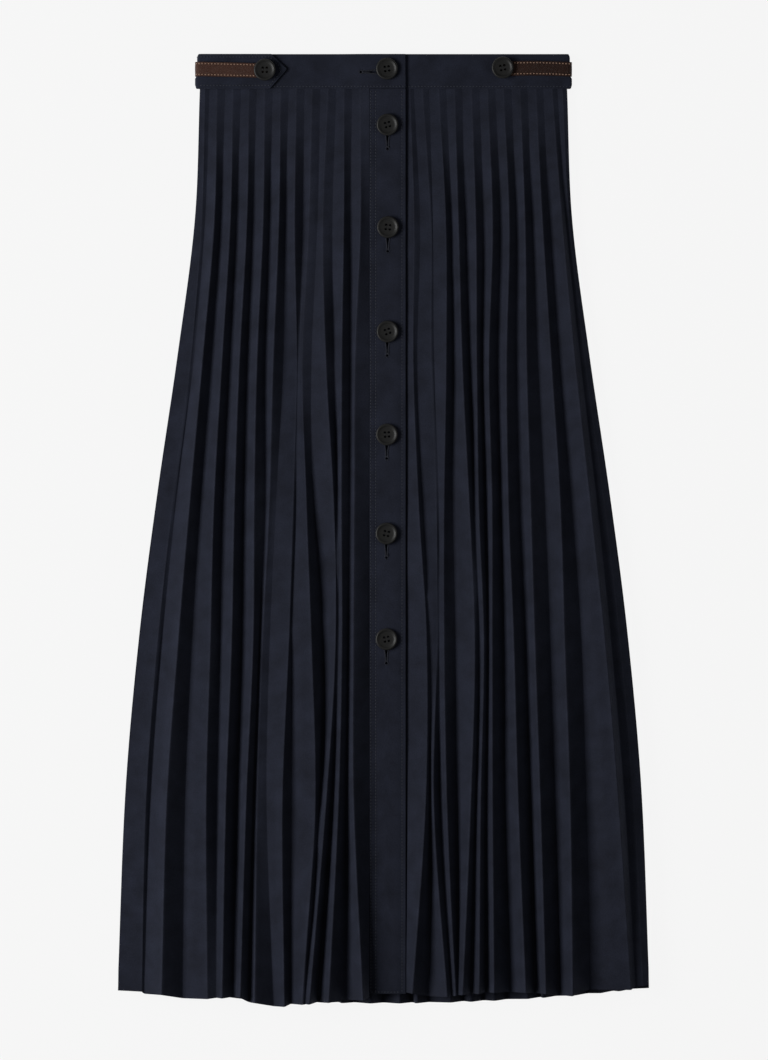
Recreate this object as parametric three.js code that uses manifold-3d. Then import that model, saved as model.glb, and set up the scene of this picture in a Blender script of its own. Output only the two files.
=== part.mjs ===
import * as THREE from "three";
import { mergeVertices } from "three/addons/utils/BufferGeometryUtils.js";
import Module from "manifold-3d";

// A pleated, button-through midi skirt that lies flat with its front up, in millimetres.
// X runs across it, +Y from the hem to the waist and +Z up from the surface under it.
// "Down" is a distance below the top of the waistband. Left and right are those of the picture.

// Driving dimensions
const LENGTH = 857.2;
const BAND_HEIGHT = 31.2;
const BAND_HALF_WIDTH = 168;
const GAP = 0.3;
const LAYER_GAP = 0.4;
const CLOTH = 1;
const DOUBLE_CLOTH = 2;
const LEATHER = 1.6;
const STRAP_WIDTH = 13;
const BUTTON_RADIUS = 10;
const PLACKET = { left: -12.6, right: 19.8, hem: 845.6 };
const BUTTON_STAND = { left: -10, right: 19.8, hem: 843.5 };
const SEAM_STEP = 0.6;

// Stations down the skirt, with the half width of its outline
const STATIONS = [
  { name: "seam", down: BAND_HEIGHT + GAP, halfWidth: 165.5 },
  { name: "high hip", down: 150, halfWidth: 170 },
  { name: "hip", down: 276, halfWidth: 185.7 },
  { name: "thigh", down: 402, halfWidth: 203.8 },
  { name: "knee", down: 528, halfWidth: 219.6 },
  { name: "calf", down: 672, halfWidth: 232.2 },
  { name: "hem", down: 843, halfWidth: 238.9 },
];
const SEAM = STATIONS[0].down;
const HEM = STATIONS[STATIONS.length - 1].down;

// Pleats of the two front panels. A row is one pleat: its valley and ridge lines at the stations, in percent
// of the panel's width from its left edge, and how far down its hem is. Lift is how much higher its ridge
// stands than the pressed faces alone would put it, and rest is how far up its valley stays.
const LEFT_PLEATS = {
  edge: { ridge: [3, 4, 7, 7.5, 8, 8.5, 9.5], lift: [-2, -6, -6.5, -7, -6.5, -7.5, -10.5], hem: 844 },
  start: { hem: 843 },
  end: { hem: 849 },
  rows: [
    { valley: [5.7, 6, 8.6, 9.2, 10, 10.4, 10.6], ridge: [10.1, 11.3, 13.2, 15.6, 17, 17.1, 17.6], hem: 846 },
    { valley: [15, 15, 18, 20.8, 23, 24.6, 25.8], ridge: [19.5, 20.5, 23.4, 27, 31, 33.2, 35.7], hem: 850 },
    {
      valley: [24.4, 24, 27.5, 31, 35.5, 38, 39.4],
      ridge: [28.9, 30, 32.5, 36.6, 40.2, 41.2, 41.5],
      hem: 849,
    },
    {
      valley: [33.7, 33.3, 36.6, 41, 44.6, 46, 46.4],
      ridge: [38.2, 39.3, 41.6, 45.8, 49.6, 49.6, 48.8],
      hem: 848,
    },
    {
      valley: [43.1, 43, 46, 51.5, 52.5, 52.8, 52.5],
      ridge: [47.6, 48.3, 50, 52.8, 53.5, 54, 54.4],
      lift: [0, 0, 0, -4, -6, -7, -5],
      hem: 853.5,
    },
    {
      valley: [52.5, 52, 55.3, 56.2, 56.8, 58, 61.8],
      ridge: [57, 57.3, 62.3, 64.4, 65.2, 64.5, 66.2],
      lift: [0, 0, -3.8, 1.5, 3, -2, -8],
      rest: [0, 0, 1.5, 5.5, 5.2, 5.5, 0],
      hem: 857.2,
    },
    {
      valley: [61.8, 62, 63.2, 65.5, 66.2, 68, 68.8],
      ridge: [66.3, 65.5, 65.2, 70.5, 75, 78, 73.7],
      lift: [0, -4, -4.6, -2, 7.5, 4, -4],
      rest: [0, 0, 2.8, 4.5, 6.5, 3, 0],
      hem: 855,
    },
    {
      valley: [71.2, 70.5, 70, 73.5, 79.5, 80.2, 75.2],
      ridge: [75.7, 73.5, 77.5, 83.3, 85.3, 82.3, 76.6],
      lift: [0, -3.5, 2.5, 4, -2, 0, 0],
      rest: [0, 2, 2, 0, 0, 0, 0],
      hem: 854.5,
    },
    {
      valley: [80.6, 79, 82, 85.2, 86.8, 85, 80],
      ridge: [85.1, 85.5, 85.7, 86.7, 88, 87.3, 84],
      rest: [0, 1.5, 1.5, 0, 0, 0, 0],
      hem: 853,
    },
    {
      valley: [89.9, 89.3, 90.5, 91.3, 91.3, 91, 91.3],
      ridge: [94.4, 95, 92.5, 92.8, 93, 93.5, 97.5],
      hem: 851,
    },
  ],
};
const RIGHT_PLEATS = {
  edge: { ridge: [2.5, 5, 4, 6.3, 9.4, 8.5, 2.6], lift: [0, -4.5, -5, -4, 2, -1, 0], hem: 845 },
  start: { hem: 844.5 },
  end: { hem: 838 },
  rows: [
    {
      valley: [5, 8.5, 6.3, 7.7, 10.6, 10.2, 9.5],
      ridge: [10.3, 15, 14, 15, 14.1, 11.6, 16.8],
      lift: [-1, -3.5, -2, -4, -6, -5, -3],
      rest: [0, 1, 1.5, 2, 5, 0, 0],
      hem: 848,
    },
    {
      valley: [14.6, 16.2, 15.5, 16.1, 15.1, 14.9, 18.9],
      ridge: [20.3, 24, 22, 18.7, 17.2, 17.2, 20.2],
      lift: [0, 2, 0, -3, -4, -3, -4],
      rest: [0, 2, 3.3, 4.3, 5.2, 0, 0],
      hem: 847,
    },
    {
      valley: [25, 27.5, 25.5, 23, 22.5, 21.5, 21.6],
      ridge: [30.2, 31.5, 30.6, 31, 31, 27.5, 23.2],
      lift: [0, 0, 0, 2, 2, 0, 0],
      hem: 846,
    },
    { valley: [35, 35.7, 34.8, 33.6, 33.4, 29.8, 27], ridge: [40.6, 42, 38.5, 35.5, 35, 31.6, 30], hem: 845 },
    { valley: [45.6, 46.7, 41, 38.8, 37, 33.8, 33], ridge: [50.6, 52, 45, 42, 38.7, 36.6, 36], hem: 844 },
    { valley: [55.5, 57, 50, 46.3, 44, 41.4, 43], ridge: [60.5, 62, 54.6, 50, 48.5, 47.5, 49.2], hem: 844 },
    {
      valley: [65.5, 66.5, 60.5, 55.8, 54, 52.8, 53],
      ridge: [70.8, 71.5, 65.5, 61, 58, 56.8, 57.3],
      hem: 845,
    },
    { valley: [75.5, 76, 72, 68.3, 65.3, 63, 63], ridge: [80.6, 82, 79, 75.5, 71.5, 69.5, 68.3], hem: 847 },
    {
      valley: [85.2, 86.3, 83.5, 81.3, 79.3, 76.5, 75.6],
      ridge: [90.6, 94, 92, 90.2, 89.7, 90, 92.5],
      lift: [0, 1.5, 4, 5.5, 6.5, 7.5, 0],
      hem: 842,
    },
    {
      valley: [94, 96.3, 95, 93.6, 92.6, 92.8, 94.5],
      ridge: [97, 98.2, 97.5, 97, 96.5, 96.5, 97.5],
      lift: [-2, -5.5, -6.8, -8.2, -9.4, -11, -13],
      rest: [0, 0.5, 2, 2.5, 3, 3.5, 3],
      hem: 839,
    },
  ],
};

// Pressed faces: their width from valley to ridge grows down the skirt, and so does the height they may
// stand to. The seam holds them nearly flat, and they open over a short way below it.
const FACE = { seam: 9, hem: 23 };
const MOST_HEIGHT = { seam: 5.5, hem: 16 };
const LEAST_HEIGHT = 1;
const STEEPEST = 2.05;
const HELD_FLAT = { share: 0.18, length: 120 };
const MIDDLE = { seam: 4.1, hem: 13.5 };
const OVER_HEIGHT = DOUBLE_CLOTH + GAP;
const BACK_PLEATS = { count: 21, flat: 3, hem: 855, hemRise: 14, drift: 0.2, driftWaves: 2.4 };
const FRONT_ROWS = 18;
const BACK_ROWS = 12;
const PLACKET_ROWS = 12;
const ROW_CROWDING = 1.3;

// Layers at the waist, from the surface up
const BACK_BAND_Z = LEATHER + GAP;
const FRONT_BAND_Z = BACK_BAND_Z + DOUBLE_CLOTH + LAYER_GAP;
const LAP_BAND_Z = FRONT_BAND_Z + DOUBLE_CLOTH + GAP;
const LAP_SLOPE = { low: -45, high: -13 };
const BACK_SEAM_X = 148;
const FOLD_STEPS = 8;
// Rows across the band's height, with the part of the full half width that each has
const BAND_ROWS = [
  { rise: 1, width: 0.99 },
  { rise: 0.8, width: 1 },
  { rise: 0.25, width: 1 },
  { rise: 0, width: 0.99 },
];
const TAB = { shoulder: -102, tip: -88.6, tipDown: 14.2, tipHalfHeight: 0.7 };
const STRAP = { down: 13.7, buttonDown: 15.3, end: 5 };

// Button centres
const LEFT_BUTTON = { x: -106.9, down: 14.6 };
const RIGHT_BUTTON = { x: 107.3, down: 12.5 };
const WAIST_BUTTON = { x: 3.1, down: 13.5 };
const PLACKET_BUTTONS = [
  { x: 3.6, down: 63.9 },
  { x: 4, down: 156.2 },
  { x: 3.6, down: 250.2 },
  { x: 3.1, down: 342.9 },
  { x: 2.7, down: 432 },
  { x: 2.7, down: 527 },
];
// Half section of a button, from the middle of its underside to the middle of its dished top:
// the part of its radius, and the height
const BUTTON_SECTION = [
  { radius: 0, z: 0 },
  { radius: 0.84, z: 0 },
  { radius: 0.96, z: 0.7 },
  { radius: 1, z: 1.6 },
  { radius: 0.97, z: 2.7 },
  { radius: 0.89, z: 3.2 },
  { radius: 0.78, z: 2.9 },
  { radius: 0.7, z: 2.2 },
  { radius: 0, z: 1.9 },
];
const BUTTON_SIDES = 24;
const BUTTON_HOLE = { radius: 0.95, offset: 1.8, sides: 8, length: 8 };
const BUTTON_TILT_ROOM = 0.15;
const MERGE_DISTANCE = 1e-4;

const mix = (a, b, t) => a + (b - a) * t;
const smooth = (t) => THREE.MathUtils.smoothstep(t, 0, 1);
const yAt = (down) => LENGTH / 2 - down;
const lengthShare = (down) => (down - SEAM) / (HEM - SEAM);
const middleAt = (down) => mix(MIDDLE.seam, MIDDLE.hem, lengthShare(down));

// A smooth curve through one value for each station, carried straight on past the hem
function along(values, down) {
  const last = values.length - 1;
  let i = 0;
  while (i < last - 1 && down > STATIONS[i + 1].down) i += 1;
  const slope = (k) => {
    const a = Math.max(k - 1, 0);
    const b = Math.min(k + 1, last);
    return (values[b] - values[a]) / (STATIONS[b].down - STATIONS[a].down);
  };
  const span = STATIONS[i + 1].down - STATIONS[i].down;
  const t = Math.min((down - STATIONS[i].down) / span, 1);
  const past = Math.max(down - HEM, 0) * slope(last);
  const from = values[i] * (2 * t ** 3 - 3 * t ** 2 + 1) + slope(i) * span * (t ** 3 - 2 * t ** 2 + t);
  const to = values[i + 1] * (3 * t ** 2 - 2 * t ** 3) + slope(i + 1) * span * (t ** 3 - t ** 2);
  return from + to + past;
}

const HALF_WIDTHS = STATIONS.map((station) => station.halfWidth);
const halfWidthAt = (down) => along(HALF_WIDTHS, Math.min(down, HEM));

// A closed wall between two grids of points. Rows run towards the hem and columns to the right,
// as seen from the outer side.
function wall(outer, inner) {
  const rows = outer.length;
  const columns = outer[0].length;
  const index = [];
  const at = (side, row, column) => (side * rows + row) * columns + column;
  const quad = (a, b, c, d) => index.push(a, b, c, a, c, d);
  for (let i = 0; i < rows - 1; i += 1) {
    for (let k = 0; k < columns - 1; k += 1) {
      quad(at(0, i, k), at(0, i + 1, k), at(0, i + 1, k + 1), at(0, i, k + 1));
      quad(at(1, i, k), at(1, i, k + 1), at(1, i + 1, k + 1), at(1, i + 1, k));
    }
    quad(at(1, i, 0), at(1, i + 1, 0), at(0, i + 1, 0), at(0, i, 0));
    quad(at(0, i, columns - 1), at(0, i + 1, columns - 1), at(1, i + 1, columns - 1), at(1, i, columns - 1));
  }
  for (let k = 0; k < columns - 1; k += 1) {
    quad(at(0, 0, k), at(0, 0, k + 1), at(1, 0, k + 1), at(1, 0, k));
    quad(at(1, rows - 1, k), at(1, rows - 1, k + 1), at(0, rows - 1, k + 1), at(0, rows - 1, k));
  }
  const geometry = new THREE.BufferGeometry();
  geometry.setAttribute("position", new THREE.Float32BufferAttribute([...outer, ...inner].flat(2), 3));
  geometry.setIndex(index);
  geometry.computeVertexNormals();
  return geometry;
}

// How far down row i of a column is, with the rows closer together near the seam
const rowDown = (i, rows, hem) => SEAM + (hem - SEAM) * (i / rows) ** ROW_CROWDING;

// The steepest slope that meets each point of a section
function slopesAt(x, z) {
  const faces = x.slice(1).map((to, k) => Math.abs(z[k + 1] - z[k]) / (to - x[k]));
  return x.map((_, k) => Math.max(faces[k - 1] ?? 0, faces[k] ?? 0));
}

// Upright thickness that leaves a sloped wall as thick as the cloth
const uprightCloth = (slope) => CLOTH * Math.hypot(1, slope);

// The fold lines of a front panel from its left edge to its right edge
function pleatLines({ edge, start, end, rows }) {
  const none = STATIONS.map(() => 0);
  const all = STATIONS.map(() => 100);
  return [
    { share: none, rise: none, hem: start.hem },
    { share: edge.ridge, rise: edge.lift, hem: edge.hem, ridge: true },
    ...rows.flatMap(({ valley, ridge, lift = none, rest = none, hem }) => [
      { share: valley, rise: rest, hem },
      { share: ridge, rise: lift, hem, ridge: true },
    ]),
    { share: all, rise: none, hem: end.hem },
  ];
}

// Heights of a section's points above the layer under it. A ridge stands as high as its pressed faces and its
// lift allow, and a valley stays at its rest unless its faces would be too steep.
function pleatHeights(x, lines, down, ends) {
  const t = lengthShare(down);
  const face = mix(FACE.seam, FACE.hem, t);
  const open = mix(HELD_FLAT.share, 1, smooth((down - SEAM) / HELD_FLAT.length));
  const most = mix(MOST_HEIGHT.seam, MOST_HEIGHT.hem, t);
  const last = x.length - 1;
  const natural = (run) => Math.min(Math.sqrt(Math.max(face ** 2 - run ** 2, 0)), most);
  const z = x.map(() => 0);
  z[0] = ends.start;
  z[last] = ends.end;
  lines.forEach((line, k) => {
    if (!line.ridge) return;
    const before = x[k] - x[k - 1];
    const after = x[k + 1] - x[k];
    const height = (natural(before) + natural(after)) / 2 + along(line.rise, down);
    z[k] = Math.max(height * open, LEAST_HEIGHT);
    if (k === 1) z[k] = Math.min(z[k], z[0] + STEEPEST * before);
    if (k === last - 1) z[k] = Math.min(z[k], z[last] + STEEPEST * after);
  });
  lines.forEach((line, k) => {
    if (line.ridge || k === 0 || k === last) return;
    const fromLeft = z[k - 1] - STEEPEST * (x[k] - x[k - 1]);
    const fromRight = z[k + 1] - STEEPEST * (x[k + 1] - x[k]);
    z[k] = Math.max(0, along(line.rise, down) * open, fromLeft, fromRight);
  });
  return z;
}

function frontPanel(panel, leftEdge, rightEdge, endHeights) {
  const lines = pleatLines(panel);
  const outer = [];
  const inner = [];
  for (let i = 0; i <= FRONT_ROWS; i += 1) {
    const downs = lines.map((line) => rowDown(i, FRONT_ROWS, line.hem));
    const shares = lines.map((line, k) => along(line.share, downs[k]) / 100);
    const x = shares.map((share, k) => mix(leftEdge(downs[k]), rightEdge(downs[k]), share));
    const z = pleatHeights(x, lines, downs[0], endHeights);
    const slopes = slopesAt(x, z);
    const under = downs.map((down, k) => middleAt(down) + LAYER_GAP / 2 + z[k]);
    outer.push(x.map((value, k) => [value, yAt(downs[k]), under[k] + uprightCloth(slopes[k])]));
    inner.push(x.map((value, k) => [value, yAt(downs[k]), under[k]]));
  }
  return wall(outer, inner);
}

// Even pleats that drift a little to the side as they go down, with a narrow flat where each rests
function backPanel() {
  const { count, flat, hem, hemRise, drift, driftWaves } = BACK_PLEATS;
  const outer = [];
  const inner = [];
  for (let i = 0; i <= BACK_ROWS; i += 1) {
    const rowAt = rowDown(i, BACK_ROWS, hem);
    const half = halfWidthAt(rowAt);
    const pitch = (2 * half) / count;
    const wander = (k) => drift * pitch * lengthShare(rowAt) * Math.sin(driftWaves * (k - (count - 1) / 2));
    const lift = BACK_BAND_Z * (1 - smooth((rowAt - SEAM) / HELD_FLAT.length));
    const ridge = middleAt(rowAt) - LAYER_GAP / 2;
    const points = [{ x: half, top: ridge }];
    for (let k = count - 1; k >= 0; k -= 1) {
      const centre = -half + pitch * (k + 0.5) + wander(k);
      points.push({ x: centre + flat / 2 }, { x: centre - flat / 2 });
      if (k > 0) points.push({ x: centre - pitch / 2, top: ridge });
    }
    points.push({ x: -half, top: ridge });
    const run = (pitch - flat) / 2;
    const thick = uprightCloth((ridge - CLOTH - lift) / run);
    const downs = points.map(({ x }) => rowDown(i, BACK_ROWS, hem - hemRise * (x / half) ** 2));
    outer.push(points.map(({ x, top }, k) => [x, yAt(downs[k]), top ? top - thick : lift]));
    inner.push(points.map(({ x, top }, k) => [x, yAt(downs[k]), top ?? lift + thick]));
  }
  return wall(outer, inner);
}

// A flat strip that follows the front of the skirt down to its own hem, some height above the middle layer
function placketStrip({ left, right, hem }, height) {
  const outer = [];
  const inner = [];
  for (let i = 0; i <= PLACKET_ROWS; i += 1) {
    const down = rowDown(i, PLACKET_ROWS, hem);
    const z = middleAt(down) + LAYER_GAP / 2 + height;
    outer.push([left, right].map((x) => [x, yAt(down), z + DOUBLE_CLOTH]));
    inner.push([left, right].map((x) => [x, yAt(down), z]));
  }
  return wall(outer, inner);
}
const placketTop = (down) => middleAt(down) + LAYER_GAP / 2 + OVER_HEIGHT + DOUBLE_CLOTH;

// Points of a band's path: its outer side, and which way that side faces
const onTop = (x, z) => ({ x, z, nx: 0, nz: 1 });
const below = (x, z) => ({ x, z, nx: 0, nz: -1 });
function sideFold(side, centre, radius) {
  const first = side > 0 ? Math.PI / 2 : -Math.PI / 2;
  return Array.from({ length: FOLD_STEPS + 1 }, (_, i) => {
    const angle = first - (Math.PI * i) / FOLD_STEPS;
    const nx = Math.cos(angle);
    const nz = Math.sin(angle);
    return { x: centre.x + radius * nx, z: centre.z + radius * nz, nx, nz };
  });
}

// A strip of even thickness along a path, with the given rows from its upper to its lower edge
function ribbon(path, thickness, rows) {
  const side = (depth) =>
    rows.map((row) =>
      path.map((p) => [(p.x - p.nx * depth) * (row.width ?? 1), row.y(p.x), p.z - p.nz * depth]),
    );
  return wall(side(0), side(thickness));
}
const bandRows = BAND_ROWS.map(({ rise, width }) => ({ width, y: () => yAt(BAND_HEIGHT * (1 - rise)) }));

const LEFT_FOLD_RADIUS = (LAP_BAND_Z + DOUBLE_CLOTH - BACK_BAND_Z) / 2;
const RIGHT_FOLD_RADIUS = (FRONT_BAND_Z + DOUBLE_CLOTH - BACK_BAND_Z) / 2;
const LEFT_FOLD = { x: -BAND_HALF_WIDTH + LEFT_FOLD_RADIUS, z: BACK_BAND_Z + LEFT_FOLD_RADIUS };
const RIGHT_FOLD = { x: BAND_HALF_WIDTH - RIGHT_FOLD_RADIUS, z: BACK_BAND_Z + RIGHT_FOLD_RADIUS };

// The lapping half of the front band climbs over the end of the other half
function frontBandLeft() {
  const low = FRONT_BAND_Z + DOUBLE_CLOTH;
  const high = LAP_BAND_Z + DOUBLE_CLOTH;
  const path = [
    onTop(LEFT_FOLD.x, low),
    onTop(LAP_SLOPE.low, low),
    onTop(LAP_SLOPE.high, high),
    onTop(PLACKET.right, high),
  ];
  return ribbon(path, DOUBLE_CLOTH, bandRows);
}

function frontBandRight() {
  const path = [
    onTop(BUTTON_STAND.left, FRONT_BAND_Z + DOUBLE_CLOTH),
    ...sideFold(1, RIGHT_FOLD, RIGHT_FOLD_RADIUS),
    below(BACK_SEAM_X + GAP / 2, BACK_BAND_Z),
  ];
  return ribbon(path, DOUBLE_CLOTH, bandRows);
}

function backBand() {
  const path = [below(BACK_SEAM_X - GAP / 2, BACK_BAND_Z), below(-BACK_SEAM_X + GAP / 2, BACK_BAND_Z)];
  return ribbon(path, DOUBLE_CLOTH, bandRows);
}

// The pointed tab comes round the left fold from the back band
function sideTab() {
  const path = [
    below(-BACK_SEAM_X - GAP / 2, BACK_BAND_Z),
    ...sideFold(-1, LEFT_FOLD, LEFT_FOLD_RADIUS),
    onTop(TAB.shoulder, LAP_BAND_Z + DOUBLE_CLOTH),
    onTop(TAB.tip, LAP_BAND_Z + DOUBLE_CLOTH),
  ];
  const rows = BAND_ROWS.map(({ rise, width }) => {
    const full = BAND_HEIGHT * (1 - rise);
    const pointed = TAB.tipDown + TAB.tipHalfHeight * (1 - 2 * rise);
    return { width, y: (x) => yAt(x === TAB.tip ? pointed : full) };
  });
  return ribbon(path, DOUBLE_CLOTH, rows);
}

// One leather strap from the right button round the back of the band to the left button
function leatherStrap() {
  const reach = LEATHER + GAP;
  const leftEnd = LEFT_BUTTON.x + STRAP.end;
  const path = [
    onTop(RIGHT_BUTTON.x - STRAP.end, RIGHT_FOLD.z + RIGHT_FOLD_RADIUS + reach),
    ...sideFold(1, RIGHT_FOLD, RIGHT_FOLD_RADIUS + reach),
    ...sideFold(-1, LEFT_FOLD, LEFT_FOLD_RADIUS + reach),
    onTop(leftEnd, LEFT_FOLD.z + LEFT_FOLD_RADIUS + reach),
  ];
  const centre = (x) => (x === leftEnd ? STRAP.buttonDown : STRAP.down);
  const rows = [-0.5, 0.5].map((edge) => ({ y: (x) => yAt(centre(x) + edge * STRAP_WIDTH) }));
  return ribbon(path, LEATHER, rows);
}

const wasm = await Module();
wasm.setup();

function solidOf(geometry) {
  geometry.deleteAttribute("normal");
  geometry.deleteAttribute("uv");
  const merged = mergeVertices(geometry, MERGE_DISTANCE);
  return new wasm.Manifold(
    new wasm.Mesh({
      numProp: 3,
      vertProperties: new Float32Array(merged.attributes.position.array),
      triVerts: new Uint32Array(merged.index.array),
    }),
  );
}

// A dished button with a raised rim and four sewing holes, its underside at z = 0
function buttonGeometry() {
  const section = BUTTON_SECTION.map(({ radius, z }) => new THREE.Vector2(radius * BUTTON_RADIUS, z));
  let solid = solidOf(new THREE.LatheGeometry(section, BUTTON_SIDES).rotateX(Math.PI / 2));
  const { radius, offset, sides, length } = BUTTON_HOLE;
  for (const x of [-offset, offset]) {
    for (const y of [-offset, offset]) {
      const hole = new THREE.CylinderGeometry(radius, radius, length, sides).rotateX(Math.PI / 2);
      solid = solid.subtract(solidOf(hole.translate(x, y, 0)));
    }
  }
  const mesh = solid.getMesh();
  const geometry = new THREE.BufferGeometry();
  geometry.setAttribute("position", new THREE.Float32BufferAttribute(mesh.vertProperties, 3));
  geometry.setIndex([...mesh.triVerts]);
  geometry.computeVertexNormals();
  return geometry;
}

const navyCloth = new THREE.MeshStandardMaterial({ color: 0x1d2028, roughness: 0.85, metalness: 0 });
const brownLeather = new THREE.MeshStandardMaterial({ color: 0x3f2c26, roughness: 0.55, metalness: 0 });
const darkHorn = new THREE.MeshStandardMaterial({ color: 0x1f1f1f, roughness: 0.45, metalness: 0 });

const skirt = new THREE.Group();
function add(name, geometry, material) {
  const mesh = new THREE.Mesh(geometry, material);
  mesh.name = name;
  skirt.add(mesh);
  return mesh;
}

const placketSide = { left: () => PLACKET.left - GAP, right: () => PLACKET.right + GAP };
const outline = { left: (down) => -halfWidthAt(down), right: halfWidthAt };
const leftEnds = { start: 0, end: OVER_HEIGHT + DOUBLE_CLOTH - CLOTH - SEAM_STEP };
const rightEnds = { start: SEAM_STEP, end: 0 };

add("front_panel_left", frontPanel(LEFT_PLEATS, outline.left, placketSide.left, leftEnds), navyCloth);
add("front_panel_right", frontPanel(RIGHT_PLEATS, placketSide.right, outline.right, rightEnds), navyCloth);
add("back_panel", backPanel(), navyCloth);
add("placket_over", placketStrip(PLACKET, OVER_HEIGHT), navyCloth);
add("placket_under", placketStrip(BUTTON_STAND, 0), navyCloth);
add("waistband_front_left", frontBandLeft(), navyCloth);
add("waistband_front_right", frontBandRight(), navyCloth);
add("waistband_back", backBand(), navyCloth);
add("side_tab_left", sideTab(), navyCloth);
add("leather_strap", leatherStrap(), brownLeather);

function addButton(name, { x, down }, under) {
  add(name, buttonGeometry(), darkHorn).position.set(x, yAt(down), under + GAP);
}
addButton("button_waist", WAIST_BUTTON, LAP_BAND_Z + DOUBLE_CLOTH);
PLACKET_BUTTONS.forEach((place, i) => {
  addButton("button_" + (i + 1), place, placketTop(place.down) + BUTTON_TILT_ROOM);
});
const STRAP_LAYER = DOUBLE_CLOTH + GAP + LEATHER;
addButton("button_side_left", LEFT_BUTTON, LAP_BAND_Z + STRAP_LAYER);
addButton("button_side_right", RIGHT_BUTTON, FRONT_BAND_Z + STRAP_LAYER);

export default skirt;
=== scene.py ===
"""A pleated, button-through midi skirt that lies flat with its front up: cloth, trim, light and camera."""

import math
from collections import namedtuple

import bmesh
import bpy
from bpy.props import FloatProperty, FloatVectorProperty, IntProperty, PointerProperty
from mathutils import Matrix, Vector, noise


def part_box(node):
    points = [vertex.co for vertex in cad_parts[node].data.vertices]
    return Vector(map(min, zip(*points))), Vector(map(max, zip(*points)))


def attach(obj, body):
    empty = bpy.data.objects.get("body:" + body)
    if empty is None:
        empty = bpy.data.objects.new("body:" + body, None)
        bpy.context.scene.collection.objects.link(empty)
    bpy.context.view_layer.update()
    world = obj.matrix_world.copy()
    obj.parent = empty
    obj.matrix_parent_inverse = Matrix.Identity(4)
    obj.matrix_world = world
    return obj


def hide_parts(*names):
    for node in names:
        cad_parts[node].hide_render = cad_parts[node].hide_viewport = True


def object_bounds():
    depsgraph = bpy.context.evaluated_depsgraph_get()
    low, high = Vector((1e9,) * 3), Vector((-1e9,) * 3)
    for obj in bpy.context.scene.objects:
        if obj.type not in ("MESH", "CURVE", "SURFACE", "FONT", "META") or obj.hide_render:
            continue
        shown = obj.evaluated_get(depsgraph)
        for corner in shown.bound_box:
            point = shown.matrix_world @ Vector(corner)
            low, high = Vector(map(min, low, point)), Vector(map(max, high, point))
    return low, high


bl_info = {
    "name": "Pleated Midi Skirt",
    "version": (1, 0, 0),
    "blender": (4, 5, 0),
    "location": "View3D > Sidebar > Skirt",
    "description": "Cloth, leather, buttons and stitching of a pleated, button-through midi skirt",
    "category": "Add Mesh",
}

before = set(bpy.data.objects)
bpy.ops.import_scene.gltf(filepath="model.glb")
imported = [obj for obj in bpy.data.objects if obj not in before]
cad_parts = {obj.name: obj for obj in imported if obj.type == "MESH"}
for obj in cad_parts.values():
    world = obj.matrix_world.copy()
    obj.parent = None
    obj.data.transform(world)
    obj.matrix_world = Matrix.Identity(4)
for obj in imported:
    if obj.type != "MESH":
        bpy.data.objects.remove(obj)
CAD_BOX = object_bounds()

# All sizes are in metres. X runs across the skirt, +Y from the hem to the waist and +Z up.
# "Down" is a distance below the top of the waistband. Left and right are those of the picture.

# Sizes that come from the frame
TOP = CAD_BOX[1].y
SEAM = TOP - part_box("front_panel_left")[1].y
BAND_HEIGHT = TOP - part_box("waistband_back")[0].y
BAND_HALF_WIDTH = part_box("waistband_front_right")[1].x
BACK_BAND_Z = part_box("waistband_back")[0].z
FRONT_BAND_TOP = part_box("waistband_front_right")[1].z
LAP_BAND_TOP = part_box("waistband_front_left")[1].z
BACK_SEAM_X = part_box("waistband_back")[1].x
TAB_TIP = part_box("side_tab_left")[1].x
PLACKET_LEFT, PLACKET_RIGHT = (corner.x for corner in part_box("placket_over"))
STAND_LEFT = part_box("placket_under")[0].x
PLACKET_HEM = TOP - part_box("placket_over")[0].y
STAND_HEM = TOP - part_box("placket_under")[0].y
PLACKET_BUTTON_NODES = ["button_%d" % number for number in range(1, 7)]
BUTTON_NODES = ["button_waist", *PLACKET_BUTTON_NODES, "button_side_left", "button_side_right"]

# Distances down the skirt, and the half width of its outline there
STATIONS = {
    "seam": (SEAM, 0.1655),
    "high hip": (0.150, 0.170),
    "hip": (0.276, 0.1857),
    "thigh": (0.402, 0.2038),
    "knee": (0.528, 0.2196),
    "calf": (0.672, 0.2322),
    "hem": (0.843, 0.2389),
}
DOWNS = [down for down, _ in STATIONS.values()]
HALF_WIDTHS = [half for _, half in STATIONS.values()]
HEM = DOWNS[-1]

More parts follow.
